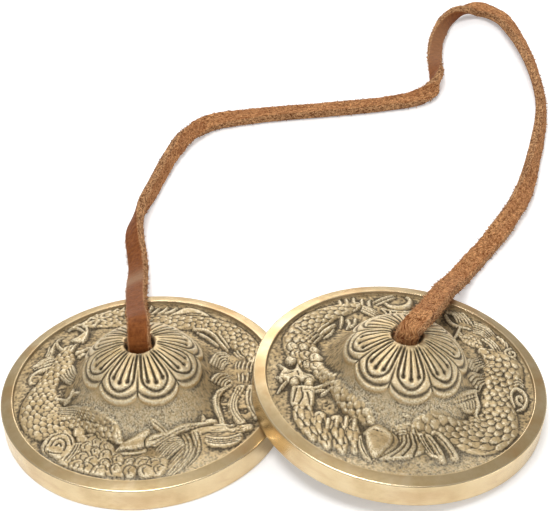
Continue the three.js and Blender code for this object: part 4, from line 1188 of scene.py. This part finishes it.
def carved(dragon, gap, offset, seed):
    """The relief of one cymbal: its dragon on the ground, the lotus on the dome, where dirt and wear lie, and
    a painted highlight at the front of the dome and the ground.
    """
    def relief(x, y):
        """Height in mm, share of dirt and share of wear at each point of the face; both shares also carry a
        painted highlight towards the front.
        """
        r = np.hypot(x, y)
        face = Face(x, y)
        dragon(face)
        figure = face.h.reshape(x.shape)
        # the figure keeps off the dome and off the bevel
        figure *= smoothstep(r, 15.0, 17.0) * (1 - smoothstep(r, 30.9, 31.4))
        petals, groove = lotus(x, y, gap, offset)
        rough = 0.6 * lattice(x, y, 0.5, seed) + 0.4 * lattice(x, y, 1.3, seed + 9)
        on_ground = smoothstep(r, 13.5, 15.5)
        texture = rough * (0.025 + 0.07 * on_ground)
        height = figure + petals + texture
        fine = blurred(height, 1, 1) - height
        wide = blurred(height, 3, 4) - height
        low = 1 - smoothstep(figure, 0.05, 0.5)
        specks = 0.26 * low * lattice(x, y, 0.42, seed + 5) + 0.1 * lattice(x, y, 2.6, seed + 3)
        patina_and_highlight = np.clip(0.31 + 0.14 * low + 6.0 * fine + 3.4 * wide + specks, 0, 1)
        flank = smoothstep(r, 13.8, 15)
        lotus_patina = np.clip(0.1 + 1.1 * groove + 1.8 * wide, 0, 1)
        # towards the front of the dome's foot the patina is thinned: a painted highlight
        front = smoothstep(-y / np.maximum(r, 1), 0.1, 0.85) * (1 - smoothstep(r, 18.5, 21))
        at_foot = np.maximum(0.28, patina_and_highlight - 0.1 * front)
        patina_and_highlight = np.where(r < 19, lotus_patina * (1 - flank) + at_foot * flank, at_foot)
        # wear on all high spots and on the petals, and a painted highlight on the bare front of the dome and
        # of the ground
        bare = flank * low * (1 - smoothstep(r, 16.5, 20))
        wear_and_highlight = 0.8 * smoothstep(-wide, 0.05, 0.22) + 0.5 * smoothstep(-fine, 0.03, 0.12)
        wear_and_highlight += 0.55 * front * bare + 0.3 * low * smoothstep(-y, 20, 25)
        wear_and_highlight += 0.16 * (1 - flank) * (1 - groove)
        return height, patina_and_highlight, np.clip(wear_and_highlight, 0, 1)
    return relief


left = cymbal("left_cymbal_cast", LEFT_PLACE, carved(left_dragon, -86.5, (0.2, 0.1), 1.0))
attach(left, "left_cymbal")
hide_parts("left_cymbal")
right_one = cymbal("right_cymbal_cast", RIGHT_PLACE, carved(right_dragon, -108.0, (0.5, -0.3), 5.0))
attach(right_one, "right_cymbal")
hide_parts("right_cymbal")

# Floor and light
floor_data = bpy.data.meshes.new("floor")
floor_data.from_pydata([(-3, -3, 0), (3, -3, 0), (3, 3, 0), (-3, 3, 0)], [], [(0, 1, 2, 3)])
floor = bpy.data.objects.new("floor", floor_data)
bpy.context.scene.collection.objects.link(floor)
fm, ft, fs = material("floor_white")
fs.inputs["Base Color"].default_value = (0.94, 0.94, 0.94, 1)
fs.inputs["Emission Color"].default_value = (1, 1, 1, 1)
rays = ft.nodes.new("ShaderNodeLightPath")
seen = maths(ft, "MAXIMUM", rays.outputs["Is Glossy Ray"], rays.outputs["Is Transmission Ray"])
seen = maths(ft, "MULTIPLY_ADD", rays.outputs["Is Camera Ray"], 0.32, times(ft, seen, 0.2))
ft.links.new(seen, fs.inputs["Emission Strength"])
fs.inputs["Roughness"].default_value = 0.9
floor_data.materials.append(fm)

world = bpy.data.worlds.new("world")
bpy.context.scene.world = world
world.use_nodes = True
world.node_tree.nodes["Background"].inputs[0].default_value = (1, 1, 1, 1)
world.node_tree.nodes["Background"].inputs[1].default_value = 0.42


def lamp(name, place_at, look_at, size, power):
    data = bpy.data.lights.new(name, "AREA")
    data.shape = "RECTANGLE"
    data.size, data.size_y = size
    data.energy = power
    obj = bpy.data.objects.new(name, data)
    bpy.context.scene.collection.objects.link(obj)
    obj.location = place_at
    direction = Vector(look_at) - Vector(place_at)
    obj.rotation_euler = direction.to_track_quat("-Z", "Y").to_euler()


lamp("overhead", (-0.12, -0.18, 0.95), (0, 0.03, 0), (0.42, 0.34), 4.6)
lamp("rear", (-0.12, 0.95, 0.6), (0, 0.03, 0), (0.6, 0.42), 4.4)
lamp("side", (0.75, -0.25, 0.22), (0.03, 0, 0), (0.4, 0.3), 0.9)
bpy.context.scene.view_settings.view_transform = "Standard"
